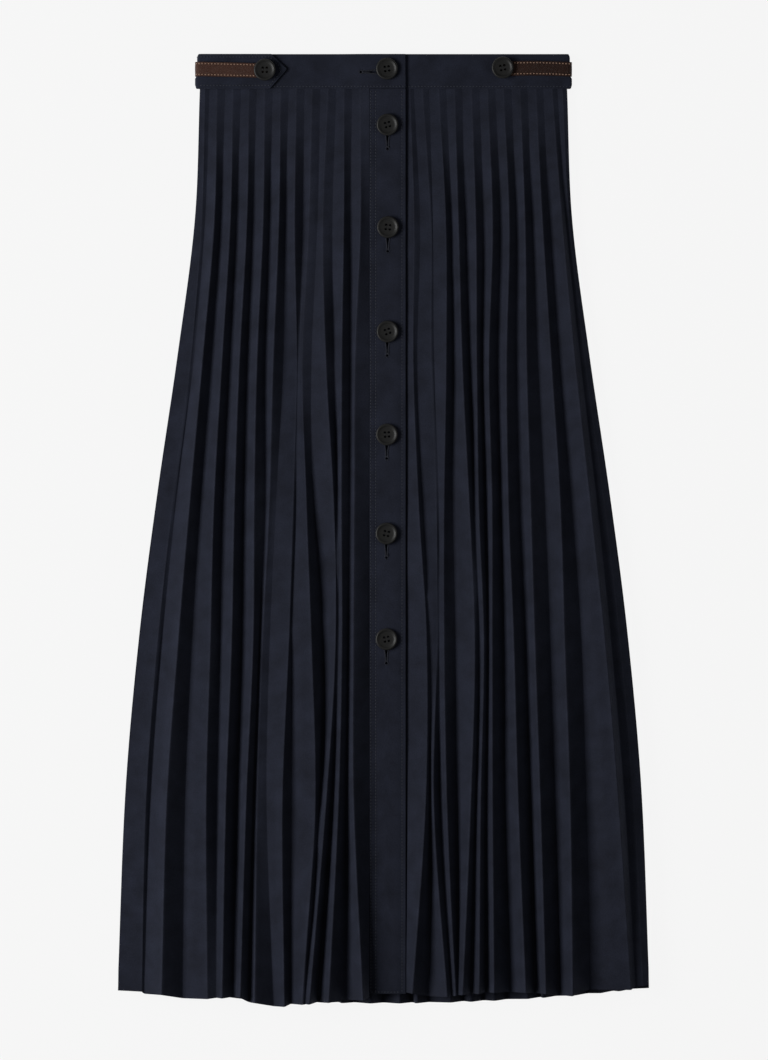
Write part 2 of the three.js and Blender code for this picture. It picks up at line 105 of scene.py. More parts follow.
# Pleats of the two front panels. A row is one pleat: its valley and ridge lines at the stations, in percent
# of the panel's width from its left edge, and how far down its hem is. Lift is how much higher its ridge
# stands than the pressed faces alone would put it, and rest is how far up its valley stays.
LEFT_PLEATS = {
    "edge": {
        "ridge": [3, 4, 7, 7.5, 8, 8.5, 9.5],
        "lift": [-0.002, -0.006, -0.0065, -0.007, -0.0065, -0.0075, -0.0105],
        "hem": 0.844,
    },
    "start": {"hem": 0.843},
    "end": {"hem": 0.849},
    "rows": [
        {
            "valley": [5.7, 6, 8.6, 9.2, 10, 10.4, 10.6],
            "ridge": [10.1, 11.3, 13.2, 15.6, 17, 17.1, 17.6],
            "hem": 0.846,
        },
        {
            "valley": [15, 15, 18, 20.8, 23, 24.6, 25.8],
            "ridge": [19.5, 20.5, 23.4, 27, 31, 33.2, 35.7],
            "hem": 0.85,
        },
        {
            "valley": [24.4, 24, 27.5, 31, 35.5, 38, 39.4],
            "ridge": [28.9, 30, 32.5, 36.6, 40.2, 41.2, 41.5],
            "hem": 0.849,
        },
        {
            "valley": [33.7, 33.3, 36.6, 41, 44.6, 46, 46.4],
            "ridge": [38.2, 39.3, 41.6, 45.8, 49.6, 49.6, 48.8],
            "hem": 0.848,
        },
        {
            "valley": [43.1, 43, 46, 51.5, 52.5, 52.8, 52.5],
            "ridge": [47.6, 48.3, 50, 52.8, 53.5, 54, 54.4],
            "lift": [0, 0, 0, -0.004, -0.006, -0.007, -0.005],
            "hem": 0.8535,
        },
        {
            "valley": [52.5, 52, 55.3, 56.2, 56.8, 58, 61.8],
            "ridge": [57, 57.3, 62.3, 64.4, 65.2, 64.5, 66.2],
            "lift": [0, 0, -0.0038, 0.0015, 0.003, -0.002, -0.008],
            "rest": [0, 0, 0.0015, 0.0055, 0.0052, 0.0055, 0],
            "hem": 0.8572,
        },
        {
            "valley": [61.8, 62, 63.2, 65.5, 66.2, 68, 68.8],
            "ridge": [66.3, 65.5, 65.2, 70.5, 75, 78, 73.7],
            "lift": [0, -0.004, -0.0046, -0.002, 0.0075, 0.004, -0.004],
            "rest": [0, 0, 0.0028, 0.0045, 0.0065, 0.003, 0],
            "hem": 0.855,
        },
        {
            "valley": [71.2, 70.5, 70, 73.5, 79.5, 80.2, 75.2],
            "ridge": [75.7, 73.5, 77.5, 83.3, 85.3, 82.3, 76.6],
            "lift": [0, -0.0035, 0.0025, 0.004, -0.002, 0, 0],
            "rest": [0, 0.002, 0.002, 0, 0, 0, 0],
            "hem": 0.8545,
        },
        {
            "valley": [80.6, 79, 82, 85.2, 86.8, 85, 80],
            "ridge": [85.1, 85.5, 85.7, 86.7, 88, 87.3, 84],
            "rest": [0, 0.0015, 0.0015, 0, 0, 0, 0],
            "hem": 0.853,
        },
        {
            "valley": [89.9, 89.3, 90.5, 91.3, 91.3, 91, 91.3],
            "ridge": [94.4, 95, 92.5, 92.8, 93, 93.5, 97.5],
            "hem": 0.851,
        },
    ],
}
RIGHT_PLEATS = {
    "edge": {
        "ridge": [2.5, 5, 4, 6.3, 9.4, 8.5, 2.6],
        "lift": [0, -0.0045, -0.005, -0.004, 0.002, -0.001, 0],
        "hem": 0.845,
    },
    "start": {"hem": 0.8445},
    "end": {"hem": 0.838},
    "rows": [
        {
            "valley": [5, 8.5, 6.3, 7.7, 10.6, 10.2, 9.5],
            "ridge": [10.3, 15, 14, 15, 14.1, 11.6, 16.8],
            "lift": [-0.001, -0.0035, -0.002, -0.004, -0.006, -0.005, -0.003],
            "rest": [0, 0.001, 0.0015, 0.002, 0.005, 0, 0],
            "hem": 0.848,
        },
        {
            "valley": [14.6, 16.2, 15.5, 16.1, 15.1, 14.9, 18.9],
            "ridge": [20.3, 24, 22, 18.7, 17.2, 17.2, 20.2],
            "lift": [0, 0.002, 0, -0.003, -0.004, -0.003, -0.004],
            "rest": [0, 0.002, 0.0033, 0.0043, 0.0052, 0, 0],
            "hem": 0.847,
        },
        {
            "valley": [25, 27.5, 25.5, 23, 22.5, 21.5, 21.6],
            "ridge": [30.2, 31.5, 30.6, 31, 31, 27.5, 23.2],
            "lift": [0, 0, 0, 0.002, 0.002, 0, 0],
            "hem": 0.846,
        },
        {
            "valley": [35, 35.7, 34.8, 33.6, 33.4, 29.8, 27],
            "ridge": [40.6, 42, 38.5, 35.5, 35, 31.6, 30],
            "hem": 0.845,
        },
        {
            "valley": [45.6, 46.7, 41, 38.8, 37, 33.8, 33],
            "ridge": [50.6, 52, 45, 42, 38.7, 36.6, 36],
            "hem": 0.844,
        },
        {
            "valley": [55.5, 57, 50, 46.3, 44, 41.4, 43],
            "ridge": [60.5, 62, 54.6, 50, 48.5, 47.5, 49.2],
            "hem": 0.844,
        },
        {
            "valley": [65.5, 66.5, 60.5, 55.8, 54, 52.8, 53],
            "ridge": [70.8, 71.5, 65.5, 61, 58, 56.8, 57.3],
            "hem": 0.845,
        },
        {
            "valley": [75.5, 76, 72, 68.3, 65.3, 63, 63],
            "ridge": [80.6, 82, 79, 75.5, 71.5, 69.5, 68.3],
            "hem": 0.847,
        },
        {
            "valley": [85.2, 86.3, 83.5, 81.3, 79.3, 76.5, 75.6],
            "ridge": [90.6, 94, 92, 90.2, 89.7, 90, 92.5],
            "lift": [0, 0.0015, 0.004, 0.0055, 0.0065, 0.0075, 0],
            "hem": 0.842,
        },
        {
            "valley": [94, 96.3, 95, 93.6, 92.6, 92.8, 94.5],
            "ridge": [97, 98.2, 97.5, 97, 96.5, 96.5, 97.5],
            "lift": [-0.002, -0.0055, -0.0068, -0.0082, -0.0094, -0.011, -0.013],
            "rest": [0, 0.0005, 0.002, 0.0025, 0.003, 0.0035, 0.003],
            "hem": 0.839,
        },
    ],
}

# Pressed faces: their width from valley to ridge grows down the skirt, and so does the height they may
# stand to. The seam holds them nearly flat, and they open over a short way below it.
FACE = {"seam": 0.009, "hem": 0.023}
MOST_HEIGHT = {"seam": 0.0055, "hem": 0.016}
LEAST_HEIGHT = 0.001
STEEPEST = 2.05
HELD_FLAT = {"share": 0.18, "length": 0.12}
MIDDLE = {"seam": 0.0041, "hem": 0.0135}
SOLID_CLOTH = 0.001
DOUBLE_CLOTH = 0.002
GAP = 0.0003
LAYER_GAP = 0.0004
OVER_HEIGHT = DOUBLE_CLOTH + GAP
SEAM_STEP = 0.0006
BACK_PLEATS = {"count": 21, "flat": 0.003, "hem": 0.855, "rise": 0.014, "drift": 0.2, "waves": 2.4}
ROW_CROWDING = 1.3
SEAM_TUCK = 0.0008

# How finely a pleated panel is modelled
ARC_POINTS = 5
FACE_POINTS = 7
BACK_FACE_POINTS = 3
FOLD_SHARE = 0.45
LEAST_FOLD = 0.0003
BELLY_WAVE = 0.11
SHARP_EDGE = math.radians(50)

# Soft creases on the wide faces of the fronts: the fold line before the face, how far across the face,
# where it starts and ends down the skirt, how deep it is (below zero for a ridge) and how wide
Crease = namedtuple("Crease", "fold across start end depth width")
LEFT_CREASES = [
    Crease(2, 0.55, 0.40, 0.80, 0.0007, 0.0040),
    Crease(4, 0.40, 0.62, 0.86, -0.0008, 0.0050),
    Crease(4, 0.72, 0.50, 0.74, 0.0006, 0.0035),
    Crease(6, 0.50, 0.24, 0.56, 0.0005, 0.0040),
    Crease(12, 0.55, 0.58, 0.86, 0.0007, 0.0040),
    Crease(14, 0.45, 0.46, 0.70, -0.0007, 0.0045),
]
RIGHT_CREASES = [
    Crease(6, 0.50, 0.30, 0.60, 0.0006, 0.0040),
    Crease(14, 0.60, 0.52, 0.85, -0.0006, 0.0045),
    Crease(16, 0.45, 0.36, 0.72, 0.0007, 0.0045),
    Crease(18, 0.58, 0.34, 0.86, -0.0010, 0.0040),
    Crease(18, 0.25, 0.60, 0.86, 0.0006, 0.0050),
]

# Waistband, tab and strap
BAND_ENDS = {
    "corner": 0.0035,
    "rounding": 0.008,
    "bulge": 0.011,
    "bulge start": 0.0192,
    "bulge length": 0.0025,
}
LAP_SLOPE = {"low": -0.045, "high": -0.013}
LEFT_FOLD_RADIUS = (LAP_BAND_TOP - BACK_BAND_Z) / 2
RIGHT_FOLD_RADIUS = (FRONT_BAND_TOP - BACK_BAND_Z) / 2
LEFT_FOLD = (-BAND_HALF_WIDTH + LEFT_FOLD_RADIUS, BACK_BAND_Z + LEFT_FOLD_RADIUS)
RIGHT_FOLD = (BAND_HALF_WIDTH - RIGHT_FOLD_RADIUS, BACK_BAND_Z + RIGHT_FOLD_RADIUS)
FOLD_STEPS = 12
TAB_SHOULDER = -0.102
TAB_TIP_DOWN = 0.0142
TAB_TIP_HALF = 0.0007
LEATHER = 0.0016
STRAP = {"width": 0.013, "down": 0.0137, "button down": 0.0153, "end": 0.005, "bow": 0.0009}
BAND_STEP = 0.004
STAND_STEP = {"across": 0.005, "down": 0.01}
STRAP_STEP = {"front": 0.003, "back": 0.008}

# Rounding of cut edges
CLOTH_EDGE = 0.0003
LEATHER_EDGE = 0.0004

# Slight unevenness of the flat cloth: its height and the length of its waves
RIPPLE = {"height": 0.0004, "across": 0.03, "down": 0.05}

# Distances from an edge to the row of stitches inside it
BAND_STITCH_INSET = 0.002
TAB_STITCH_INSET = 0.0028
PLACKET_STITCH_LEFT = [0.0012, 0.0056]
PLACKET_STITCH_RIGHT = 0.0031
PLACKET_STITCH_HEM = 0.0014
STRAP_STITCH_INSET = 0.0016
STITCH_GROOVE = {"depth": 0.00025, "width": 0.0007}
STITCH_SINK = 0.0005
# Small puckers that the stitching draws across the left edge of the placket, with painted shade in their
# troughs
PUCKER = {"pitch": 0.0026, "shade": 0.55, "height": 2.0}
PUCKER_LEFT = PLACKET_LEFT + 0.0003
PUCKER_RIGHT = PLACKET_LEFT + 0.0065

# Buttonholes run from under a button to a small eyelet. The crosswise one is a little below its button.
BUTTONHOLE_LENGTH = 0.0225
WAIST_HOLE = {"length": 0.0243, "down": 0.0162}
SLIT = {"closed": 0.0002, "open": 0.0010, "opens at": 0.0055, "opens over": 0.0075}
EYELET_RADIUS = 0.001
EYELET_STEPS = 6

# Half section of a button, from the middle of its underside to the middle of its dished top:
# the part of its radius, and the height as a part of its thickness
BUTTON_SECTION = [
    (0, 0),
    (0.45, 0),
    (0.84, 0.02),
    (0.95, 0.2),
    (1, 0.5),
    (0.985, 0.82),
    (0.93, 0.97),
    (0.86, 1),
    (0.79, 0.93),
    (0.73, 0.76),
    (0.66, 0.67),
    (0.36, 0.61),
    (0, 0.59),
]
BUTTON_SIDES = 32
BUTTON_HOLE = {"radius": 0.00115, "offset": 0.0018, "sides": 14, "length": 0.02}
BUTTON_THREAD = {"width": 0.0006, "lean": 0.0003, "sink": 0.0002}
# How far each button is turned, in degrees
BUTTON_TURNS = [8, 14, -6, 20, 3, -12, 10, 0, 12]

# Floor, light and camera
FLOOR_DROP = 0.0003
FLOOR_HALF_SIZE = 20
PICTURE_HEIGHT = 0.954
PICTURE_CENTRE = (0.00045, -0.0002)
PICTURE_LEVEL = 0.012
CAMERA_SENSOR = 0.036


# Properties

class SkirtCloth(bpy.types.PropertyGroup):
    """Sizes and finish of the navy cloth"""

    thickness: FloatProperty(
        name="Thickness", description="Thickness of one layer of cloth", default=0.0007, unit="LENGTH"
    )
    fold_radius: FloatProperty(
        name="Fold radius", description="Radius of a pressed fold", default=0.001, unit="LENGTH"
    )
    belly: FloatProperty(
        name="Belly", description="How far a pressed face bows in or out", default=0.0006, unit="LENGTH"
    )
    front_rows: IntProperty(name="Front rows", description="Rows of faces down a front panel", default=120)
    back_rows: IntProperty(name="Back rows", description="Rows of faces down the back panel", default=60)
    colour: FloatVectorProperty(
        name="Navy", description="Colour of the cloth", default=(0.0136, 0.0158, 0.0266), subtype="COLOR"
    )
    rib_pitch: FloatProperty(
        name="Rib pitch", description="Distance between the ribs of the twill", default=0.0008, unit="LENGTH"
    )


class SkirtTrim(bpy.types.PropertyGroup):
    """Sizes and colours of the stitching, leather and buttons"""

    stitch_length: FloatProperty(
        name="Stitch", description="Length of a topstitch", default=0.0020, unit="LENGTH"
    )
    stitch_gap: FloatProperty(
        name="Stitch gap", description="Gap between two topstitches", default=0.0009, unit="LENGTH"
    )
    thread_width: FloatProperty(
        name="Thread", description="Width of the sewing thread", default=0.0009, unit="LENGTH"
    )
    tan_width: FloatProperty(
        name="Tan thread width", description="Width of the thread on the leather", default=0.0012,
        unit="LENGTH",
    )
    binding: FloatProperty(
        name="Binding", description="Length of the stitches round a buttonhole", default=0.0014, unit="LENGTH"
    )
    binding_pitch: FloatProperty(
        name="Binding pitch", description="Distance between those stitches", default=0.0008, unit="LENGTH"
    )
    thread_colour: FloatVectorProperty(
        name="Navy thread", description="Colour of the topstitching", default=(0.034, 0.038, 0.052),
        subtype="COLOR",
    )
    binding_colour: FloatVectorProperty(
        name="Binding thread", description="Colour of the thread round the buttonholes",
        default=(0.020, 0.0225, 0.033), subtype="COLOR",
    )
    # Nearly black: real thread in the buttons, darkened so that it also stands in for painted shade in their
    # sewing holes
    hole_thread_shade_colour: FloatVectorProperty(
        name="Button thread", description="Colour of the thread in the buttons",
        default=(0.004, 0.004, 0.005), subtype="COLOR",
    )
    tan_colour: FloatVectorProperty(
        name="Tan thread", description="Colour of the stitching on the leather", default=(0.30, 0.185, 0.13),
        subtype="COLOR",
    )
    leather_colour: FloatVectorProperty(
        name="Leather", description="Colour of the strap", default=(0.056, 0.0256, 0.0182), subtype="COLOR"
    )
    button_colour: FloatVectorProperty(
        name="Button", description="Colour of the buttons", default=(0.0122, 0.0125, 0.0124), subtype="COLOR"
    )


class SkirtStage(bpy.types.PropertyGroup):
    """Light, floor and camera"""

    key_power: FloatProperty(
        name="Key light", description="Power of the light from the left", default=40.5, unit="POWER"
    )
    key_place: FloatVectorProperty(
        name="Key place", description="Where that light stands", default=(-1.65, 0.1, 1.25),
        subtype="TRANSLATION", unit="LENGTH",
    )
    side_power: FloatProperty(
        name="Side light", description="Power of the weak light from the right", default=1.4, unit="POWER"
    )
    side_place: FloatVectorProperty(
        name="Side place", description="Where that light stands", default=(1.0, 0.3, 0.75),
        subtype="TRANSLATION", unit="LENGTH",
    )
    light_width: FloatProperty(
        name="Light width", description="Size of both lights up and down", default=0.8, unit="LENGTH"
    )
    light_length: FloatProperty(
        name="Light length", description="Size of both lights along the skirt", default=1.4, unit="LENGTH"
    )
    fill: FloatProperty(name="Fill", description="Strength of the light from all round", default=0.1)
    floor_glow: FloatProperty(name="Floor glow", description="Brightness of the lit floor", default=0.898)
    floor_colour: FloatVectorProperty(
        name="Floor", description="Colour of the floor", default=(0.03, 0.03, 0.03), subtype="COLOR"
    )
    lens: FloatProperty(
        name="Lens", description="Focal length, in millimetres", default=200, subtype="DISTANCE_CAMERA"
    )


# Pleats

Fold = namedtuple("Fold", "shares rise hem ridge")


def mix(a, b, t):
    return a + (b - a) * t


def smooth(t):
    t = min(max(t, 0), 1)
    return t * t * (3 - 2 * t)


def length_share(down):
    return (down - SEAM) / (HEM - SEAM)


def middle_at(down):
    """Height of the layer between the front and the back."""
    return mix(MIDDLE["seam"], MIDDLE["hem"], length_share(down))


def along(values, down):
    """A smooth curve through one value for each station, carried straight on past the hem."""
    last = len(values) - 1
    i = 0
    while i < last - 1 and down > DOWNS[i + 1]:
        i += 1

    def slope(k):
        a = max(k - 1, 0)
        b = min(k + 1, last)
        return (values[b] - values[a]) / (DOWNS[b] - DOWNS[a])

    span = DOWNS[i + 1] - DOWNS[i]
    t = min((down - DOWNS[i]) / span, 1)
    past = max(down - HEM, 0) * slope(last)
    start = values[i] * (2 * t**3 - 3 * t**2 + 1) + slope(i) * span * (t**3 - 2 * t**2 + t)
    end = values[i + 1] * (3 * t**2 - 2 * t**3) + slope(i + 1) * span * (t**3 - t**2)
    return start + end + past


def half_width_at(down):
    return along(HALF_WIDTHS, min(down, HEM))


def row_down(i, rows, hem):
    """How far down row i of a column is, with the rows closer together near the top, which is in the band."""
    top = SEAM - SEAM_TUCK
    return top + (hem - top) * (i / rows) ** ROW_CROWDING


def pleat_folds(panel):
    """The fold lines of a front panel from its left edge to its right edge."""
    none = [0] * len(DOWNS)
    edge = panel["edge"]
    folds = [
        Fold(none, none, panel["start"]["hem"], False),
        Fold(edge["ridge"], edge["lift"], edge["hem"], True),
    ]
    for row in panel["rows"]:
        folds.append(Fold(row["valley"], row.get("rest", none), row["hem"], False))
        folds.append(Fold(row["ridge"], row.get("lift", none), row["hem"], True))
    folds.append(Fold([100] * len(DOWNS), none, panel["end"]["hem"], False))
    return folds


def pleat_heights(x, folds, down, ends):
    """Heights of a section's folds above the layer under it.

    A ridge stands as high as its pressed faces and its lift allow, and a valley stays at its rest unless its
    faces would be too steep.
    """
    t = length_share(down)
    face = mix(FACE["seam"], FACE["hem"], t)
    opened = mix(HELD_FLAT["share"], 1, smooth((down - SEAM) / HELD_FLAT["length"]))
    most = mix(MOST_HEIGHT["seam"], MOST_HEIGHT["hem"], t)
    last = len(x) - 1
    z = [0] * len(x)
    z[0], z[last] = ends

    def natural(run):
        return min(math.sqrt(max(face**2 - run**2, 0)), most)

    for k in range(1, last):
        if not folds[k].ridge:
            continue
        before = x[k] - x[k - 1]
        after = x[k + 1] - x[k]
        height = (natural(before) + natural(after)) / 2 + along(folds[k].rise, down)
        z[k] = max(height * opened, LEAST_HEIGHT)
        if k == 1:
            z[k] = min(z[k], z[0] + STEEPEST * before)
        if k == last - 1:
            z[k] = min(z[k], z[last] + STEEPEST * after)
    for k in range(1, last):
        if not folds[k].ridge:
            from_left = z[k - 1] - STEEPEST * (x[k] - x[k - 1])
            from_right = z[k + 1] - STEEPEST * (x[k + 1] - x[k])
            z[k] = max(0, along(folds[k].rise, down) * opened, from_left, from_right)
    return z


def upright_cloth(x, z, k):
    """Upright thickness at fold k that leaves the steepest wall that meets it as thick as the cloth."""
    slopes = [abs(z[j + 1] - z[j]) / (x[j + 1] - x[j]) for j in (k - 1, k) if 0 <= j < len(x) - 1]
    return SOLID_CLOTH * math.hypot(1, max(slopes))


def fold_arc(before, fold, after, radius):
    """Points on the arc of a pressed fold."""
    to_before = before - fold
    to_after = after - fold
    half = to_before.angle(to_after) / 2
    reach = min(radius / math.tan(half), FOLD_SHARE * min(to_before.length, to_after.length))
    reach = max(reach, LEAST_FOLD)
    start = fold + to_before.normalized() * reach
    end = fold + to_after.normalized() * reach
    weight = math.sin(half)
    points = []
    for i in range(ARC_POINTS):
        t = i / (ARC_POINTS - 1)
        shares = ((1 - t) ** 2, 2 * t * (1 - t) * weight, t**2)
        points.append((start * shares[0] + fold * shares[1] + end * shares[2]) / sum(shares))
    return points


def pressed_row(points, radius, face_points, rise):
    """Points of a section with arcs at its folds. rise(k, t, width) lifts the face after fold k."""
    arcs = [[points[0]]]
    for before, fold, after in zip(points, points[1:], points[2:]):
        arcs.append(fold_arc(before, fold, after, radius))
    arcs.append([points[-1]])
    row = list(arcs[0])
    for k, arc in enumerate(arcs[1:]):
        start = row[-1]
        end = arc[0]
        run = end - start
        normal = Vector((-run.z, 0, run.x)).normalized()
        for i in range(1, face_points + 1):
            t = i / (face_points + 1)
            row.append(start + run * t + normal * rise(k, t, run.length))
        row.extend(arc)
    return row


def ridge_highlight_columns(folds, face_points):
    """Which columns of such a section get the painted highlight of a pressed ridge: 1 on the ridges and 0
    elsewhere.
    """
    ridge_highlight_mask = [0]
    for fold in folds[1:]:
        ridge_highlight_mask.extend([0] * face_points)
        ridge_highlight_mask.extend([1 if fold.ridge else 0] * ARC_POINTS)
    return ridge_highlight_mask[: len(ridge_highlight_mask) - ARC_POINTS + 1]


def crease_rise(crease, t, width, down):
    """Height that a soft crease takes from its face at a place across and down."""
    if not crease.start < down < crease.end:
        return 0
    length = (down - crease.start) / (crease.end - crease.start)
    off = (t - crease.across) * width / crease.width
    return -crease.depth * math.exp(-off * off) * math.sin(math.pi * length)


def front_rows(panel, left_edge, right_edge, ends, creases, seed, cloth):
    folds = pleat_folds(panel)
    rows = []
    for i in range(cloth.front_rows + 1):
        downs = [row_down(i, cloth.front_rows, fold.hem) for fold in folds]
        x = [
            mix(left_edge(down), right_edge(down), along(fold.shares, down) / 100)
            for fold, down in zip(folds, downs)
        ]
        z = pleat_heights(x, folds, downs[0], ends)
        points = []
        for k, down in enumerate(downs):
            height = middle_at(down) + LAYER_GAP / 2 + z[k] + upright_cloth(x, z, k)
            points.append(Vector((x[k], TOP - down, height)))
        here = downs[0]
        held = smooth((here - SEAM) / HELD_FLAT["length"])

        def rise(k, t, width):
            bow = noise.noise(Vector((k * 7.3, here / BELLY_WAVE, seed))) * cloth.belly * held
            creased = sum(crease_rise(c, t, width, here) for c in creases if c.fold == k)
            return bow * 4 * t * (1 - t) + creased

        rows.append(pressed_row(points, cloth.fold_radius, FACE_POINTS, rise))
    return rows, ridge_highlight_columns(folds, FACE_POINTS)


def back_rows(cloth):
    """Rows of the back panel as seen from below: even pleats that drift a little, each with a narrow flat."""
    count = BACK_PLEATS["count"]
    flat = BACK_PLEATS["flat"]
    rows = []
    for i in range(cloth.back_rows + 1):
        row_at = row_down(i, cloth.back_rows, BACK_PLEATS["hem"])
        half = half_width_at(row_at)
        pitch = 2 * half / count
        drift = BACK_PLEATS["drift"] * pitch * length_share(row_at)
        lift = BACK_BAND_Z * (1 - smooth((row_at - SEAM) / HELD_FLAT["length"]))
        ridge = middle_at(row_at) - LAYER_GAP / 2
        slope = (ridge - SOLID_CLOTH - lift) / ((pitch - flat) / 2)
        valley = ridge - SOLID_CLOTH * math.hypot(1, slope)
        section = [(half, valley)]
        for k in reversed(range(count)):
            wave = math.sin(BACK_PLEATS["waves"] * (k - (count - 1) / 2))
            centre = -half + pitch * (k + 0.5) + drift * wave
            section += [(centre + flat / 2, lift), (centre - flat / 2, lift)]
            if k > 0:
                section.append((centre - pitch / 2, valley))
        section.append((-half, valley))
        points = []
        for x, z in section:
            hem = BACK_PLEATS["hem"] - BACK_PLEATS["rise"] * (x / half) ** 2
            points.append(Vector((x, TOP - row_down(i, cloth.back_rows, hem), z)))
        rows.append(pressed_row(points, cloth.fold_radius, BACK_FACE_POINTS, lambda k, t, width: 0))
    return rows


# Meshes


def grid_of(rows):
    """A grid through rows of points, from waist to hem and to the right as seen from the outer side."""
    columns = len(rows[0])
    bm = bmesh.new()
    bmesh.ops.create_grid(bm, x_segments=columns - 1, y_segments=len(rows) - 1, size=1)
    bm.verts.ensure_lookup_table()
    lay = {}
    down = [0] * columns
    for i, row in enumerate(rows):
        across = 0
        for k, point in enumerate(row):
            if k:
                across += (point - row[k - 1]).length
            if i:
                down[k] += (point - rows[i - 1][k]).length
            index = (len(rows) - 1 - i) * columns + k
            bm.verts[index].co = point
            lay[index] = (across, -down[k])
    cloth_uv = bm.loops.layers.uv.new("cloth")
    for face in bm.faces:
        for loop in face.loops:
            loop[cloth_uv].uv = lay[loop.vert.index]
    return bm


def grid_faces(bm, rows, wanted):
    """The faces of such a grid for which wanted(row, column) is true, with rows counted from the waist."""
    columns = len(rows[0]) - 1
    bm.faces.ensure_lookup_table()
    found = []
    for i in range(len(rows) - 1):
        for k in range(columns):
            if wanted(i, k):
                found.append(bm.faces[(len(rows) - 2 - i) * columns + k])
    return found


def thicken(bm, thickness, rounding=0):
    """Gives an open sheet its thickness, inwards, and rounds its rim where a size is given."""
    bm.normal_update()
    bmesh.ops.solidify(bm, geom=bm.faces[:], thickness=thickness)
    bm.normal_update()
    rim = [edge for edge in bm.edges if edge.calc_face_angle(0) > SHARP_EDGE]
    if rounding:
        bmesh.ops.bevel(
            bm, geom=rim, offset=rounding, affect="EDGES", segments=2, profile=0.5, material=-1,
            clamp_overlap=True,
        )
    else:
        for edge in rim:
            edge.smooth = False


def finish_piece(bm, name, material, slot, *nodes):
    """Makes the object of a piece, which moves with the skirt and stands for the given solids."""
    mesh = bpy.data.meshes.new(name)
    for face in bm.faces:
        face.smooth = True
    bm.to_mesh(mesh)
    bm.free()
    mesh.materials.append(material)
    piece = bpy.data.objects.new(name, mesh)
    bpy.context.scene.collection.objects.link(piece)
    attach(piece, "root")
    if nodes:
        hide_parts(*nodes)
    return piece


# Waistband

BandPoint = namedtuple("BandPoint", "x z nx nz")


def steps_between(a, b, step):
    count = max(2, math.ceil(abs(b - a) / step))
    return [mix(a, b, i / count) for i in range(count + 1)]


def on_top(xs, height):
    return [BandPoint(x, height(x), 0, 1) for x in xs]


def below(xs, z):
    return [BandPoint(x, z, 0, -1) for x in xs]


def side_fold(side, centre, radius):
    """The turn of a band round one side of the skirt: down on the right, and up again on the left."""
    first = math.pi / 2 * side
    points = []
    for i in range(FOLD_STEPS + 1):
        angle = first - math.pi * i / FOLD_STEPS
        nx = math.cos(angle)
        nz = math.sin(angle)
        points.append(BandPoint(centre[0] + radius * nx, centre[1] + radius * nz, nx, nz))
    return points


def ripple(x, down):
    """How far flat cloth rises or sinks where it doesn't lie quite smooth."""
    return RIPPLE["height"] * noise.noise(Vector((x / RIPPLE["across"], down / RIPPLE["down"], 3.1)))


def band_spread(down):
    """Part of the band's half width that it has at a distance down. It bulges under the strap."""
    bulge = BAND_ENDS["bulge"] * smooth((down - BAND_ENDS["bulge start"]) / BAND_ENDS["bulge length"])
    corner = max(0, 1 - min(down, BAND_HEIGHT - down) / BAND_ENDS["corner"])
    return 1 + bulge - BAND_ENDS["rounding"] * corner**2


def groove(off):
    """Depth that a row of stitches draws the cloth in, at a distance from it."""
    return STITCH_GROOVE["depth"] * math.exp(-((off / STITCH_GROOVE["width"]) ** 2))


def band_downs():
    """Rows across the band, closer at its edges and at the stitching."""
    stitch = BAND_HEIGHT - BAND_STITCH_INSET
    width = STITCH_GROOVE["width"]
    edges = [0, 0.0006, 0.0015, BAND_HEIGHT - 0.0006, BAND_HEIGHT]
    near = [stitch - 2 * width, stitch - width, stitch, stitch + width]
    return sorted([*edges, *near, *steps_between(0.003, BAND_HEIGHT - 0.005, BAND_STEP)])


def band_point(p, down):
    """A point of a band: at a place along its path and a distance down it."""
    depth = groove(down - BAND_HEIGHT + BAND_STITCH_INSET) - ripple(p.x, down) * max(p.nz, 0)
    x = (p.x - p.nx * depth) * band_spread(down)
    return Vector((x, TOP - down, p.z - p.nz * depth))


def lap_height(x):
    """Top of the lapping half of the front band, which climbs over the end of the other half."""
    t = (x - LAP_SLOPE["low"]) / (LAP_SLOPE["high"] - LAP_SLOPE["low"])
    return mix(FRONT_BAND_TOP, LAP_BAND_TOP, smooth(t))


def left_band_path():
    return on_top(steps_between(LEFT_FOLD[0], PLACKET_RIGHT, BAND_STEP), lap_height)


def right_band_path():
    return [
        *on_top(steps_between(STAND_LEFT, RIGHT_FOLD[0], BAND_STEP)[:-1], lambda x: FRONT_BAND_TOP),
        *side_fold(1, RIGHT_FOLD, RIGHT_FOLD_RADIUS),
        *below(steps_between(RIGHT_FOLD[0], BACK_SEAM_X + GAP, BAND_STEP)[1:], BACK_BAND_Z),
    ]


def back_band_path():
    return below(steps_between(BACK_SEAM_X, -BACK_SEAM_X, BAND_STEP), BACK_BAND_Z)


def tab_path():
    return [
        *below(steps_between(-BACK_SEAM_X - GAP, LEFT_FOLD[0], BAND_STEP)[:-1], BACK_BAND_Z),
        *side_fold(-1, LEFT_FOLD, LEFT_FOLD_RADIUS),
        *on_top(steps_between(LEFT_FOLD[0], TAB_SHOULDER, BAND_STEP)[1:-1], lambda x: LAP_BAND_TOP),
        *on_top(steps_between(TAB_SHOULDER, TAB_TIP, BAND_STEP / 2), lambda x: LAP_BAND_TOP),
    ]


def tab_down(x, down, on_front):
    """Where a point of the tab is, with the tab's end drawn to its tip."""
    t = max(0, (x - TAB_SHOULDER) / (TAB_TIP - TAB_SHOULDER)) if on_front else 0
    pointed = TAB_TIP_DOWN + TAB_TIP_HALF * (2 * down / BAND_HEIGHT - 1)
    return mix(down, pointed, t)


# Buttonholes

def button_place(node):
    """Middle of a button, how far down it is and the height of its underside."""
    low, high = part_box(node)
    middle = (low + high) / 2
    return middle.x, TOP - middle.y, low.z


BUTTON_PLACES = {node: button_place(node) for node in BUTTON_NODES}
PLACKET_BUTTONS = [BUTTON_PLACES[node] for node in PLACKET_BUTTON_NODES]
WAIST_BUTTON = BUTTON_PLACES["button_waist"]
SIDE_BUTTON_LEFT = BUTTON_PLACES["button_side_left"]
SIDE_BUTTON_RIGHT = BUTTON_PLACES["button_side_right"]


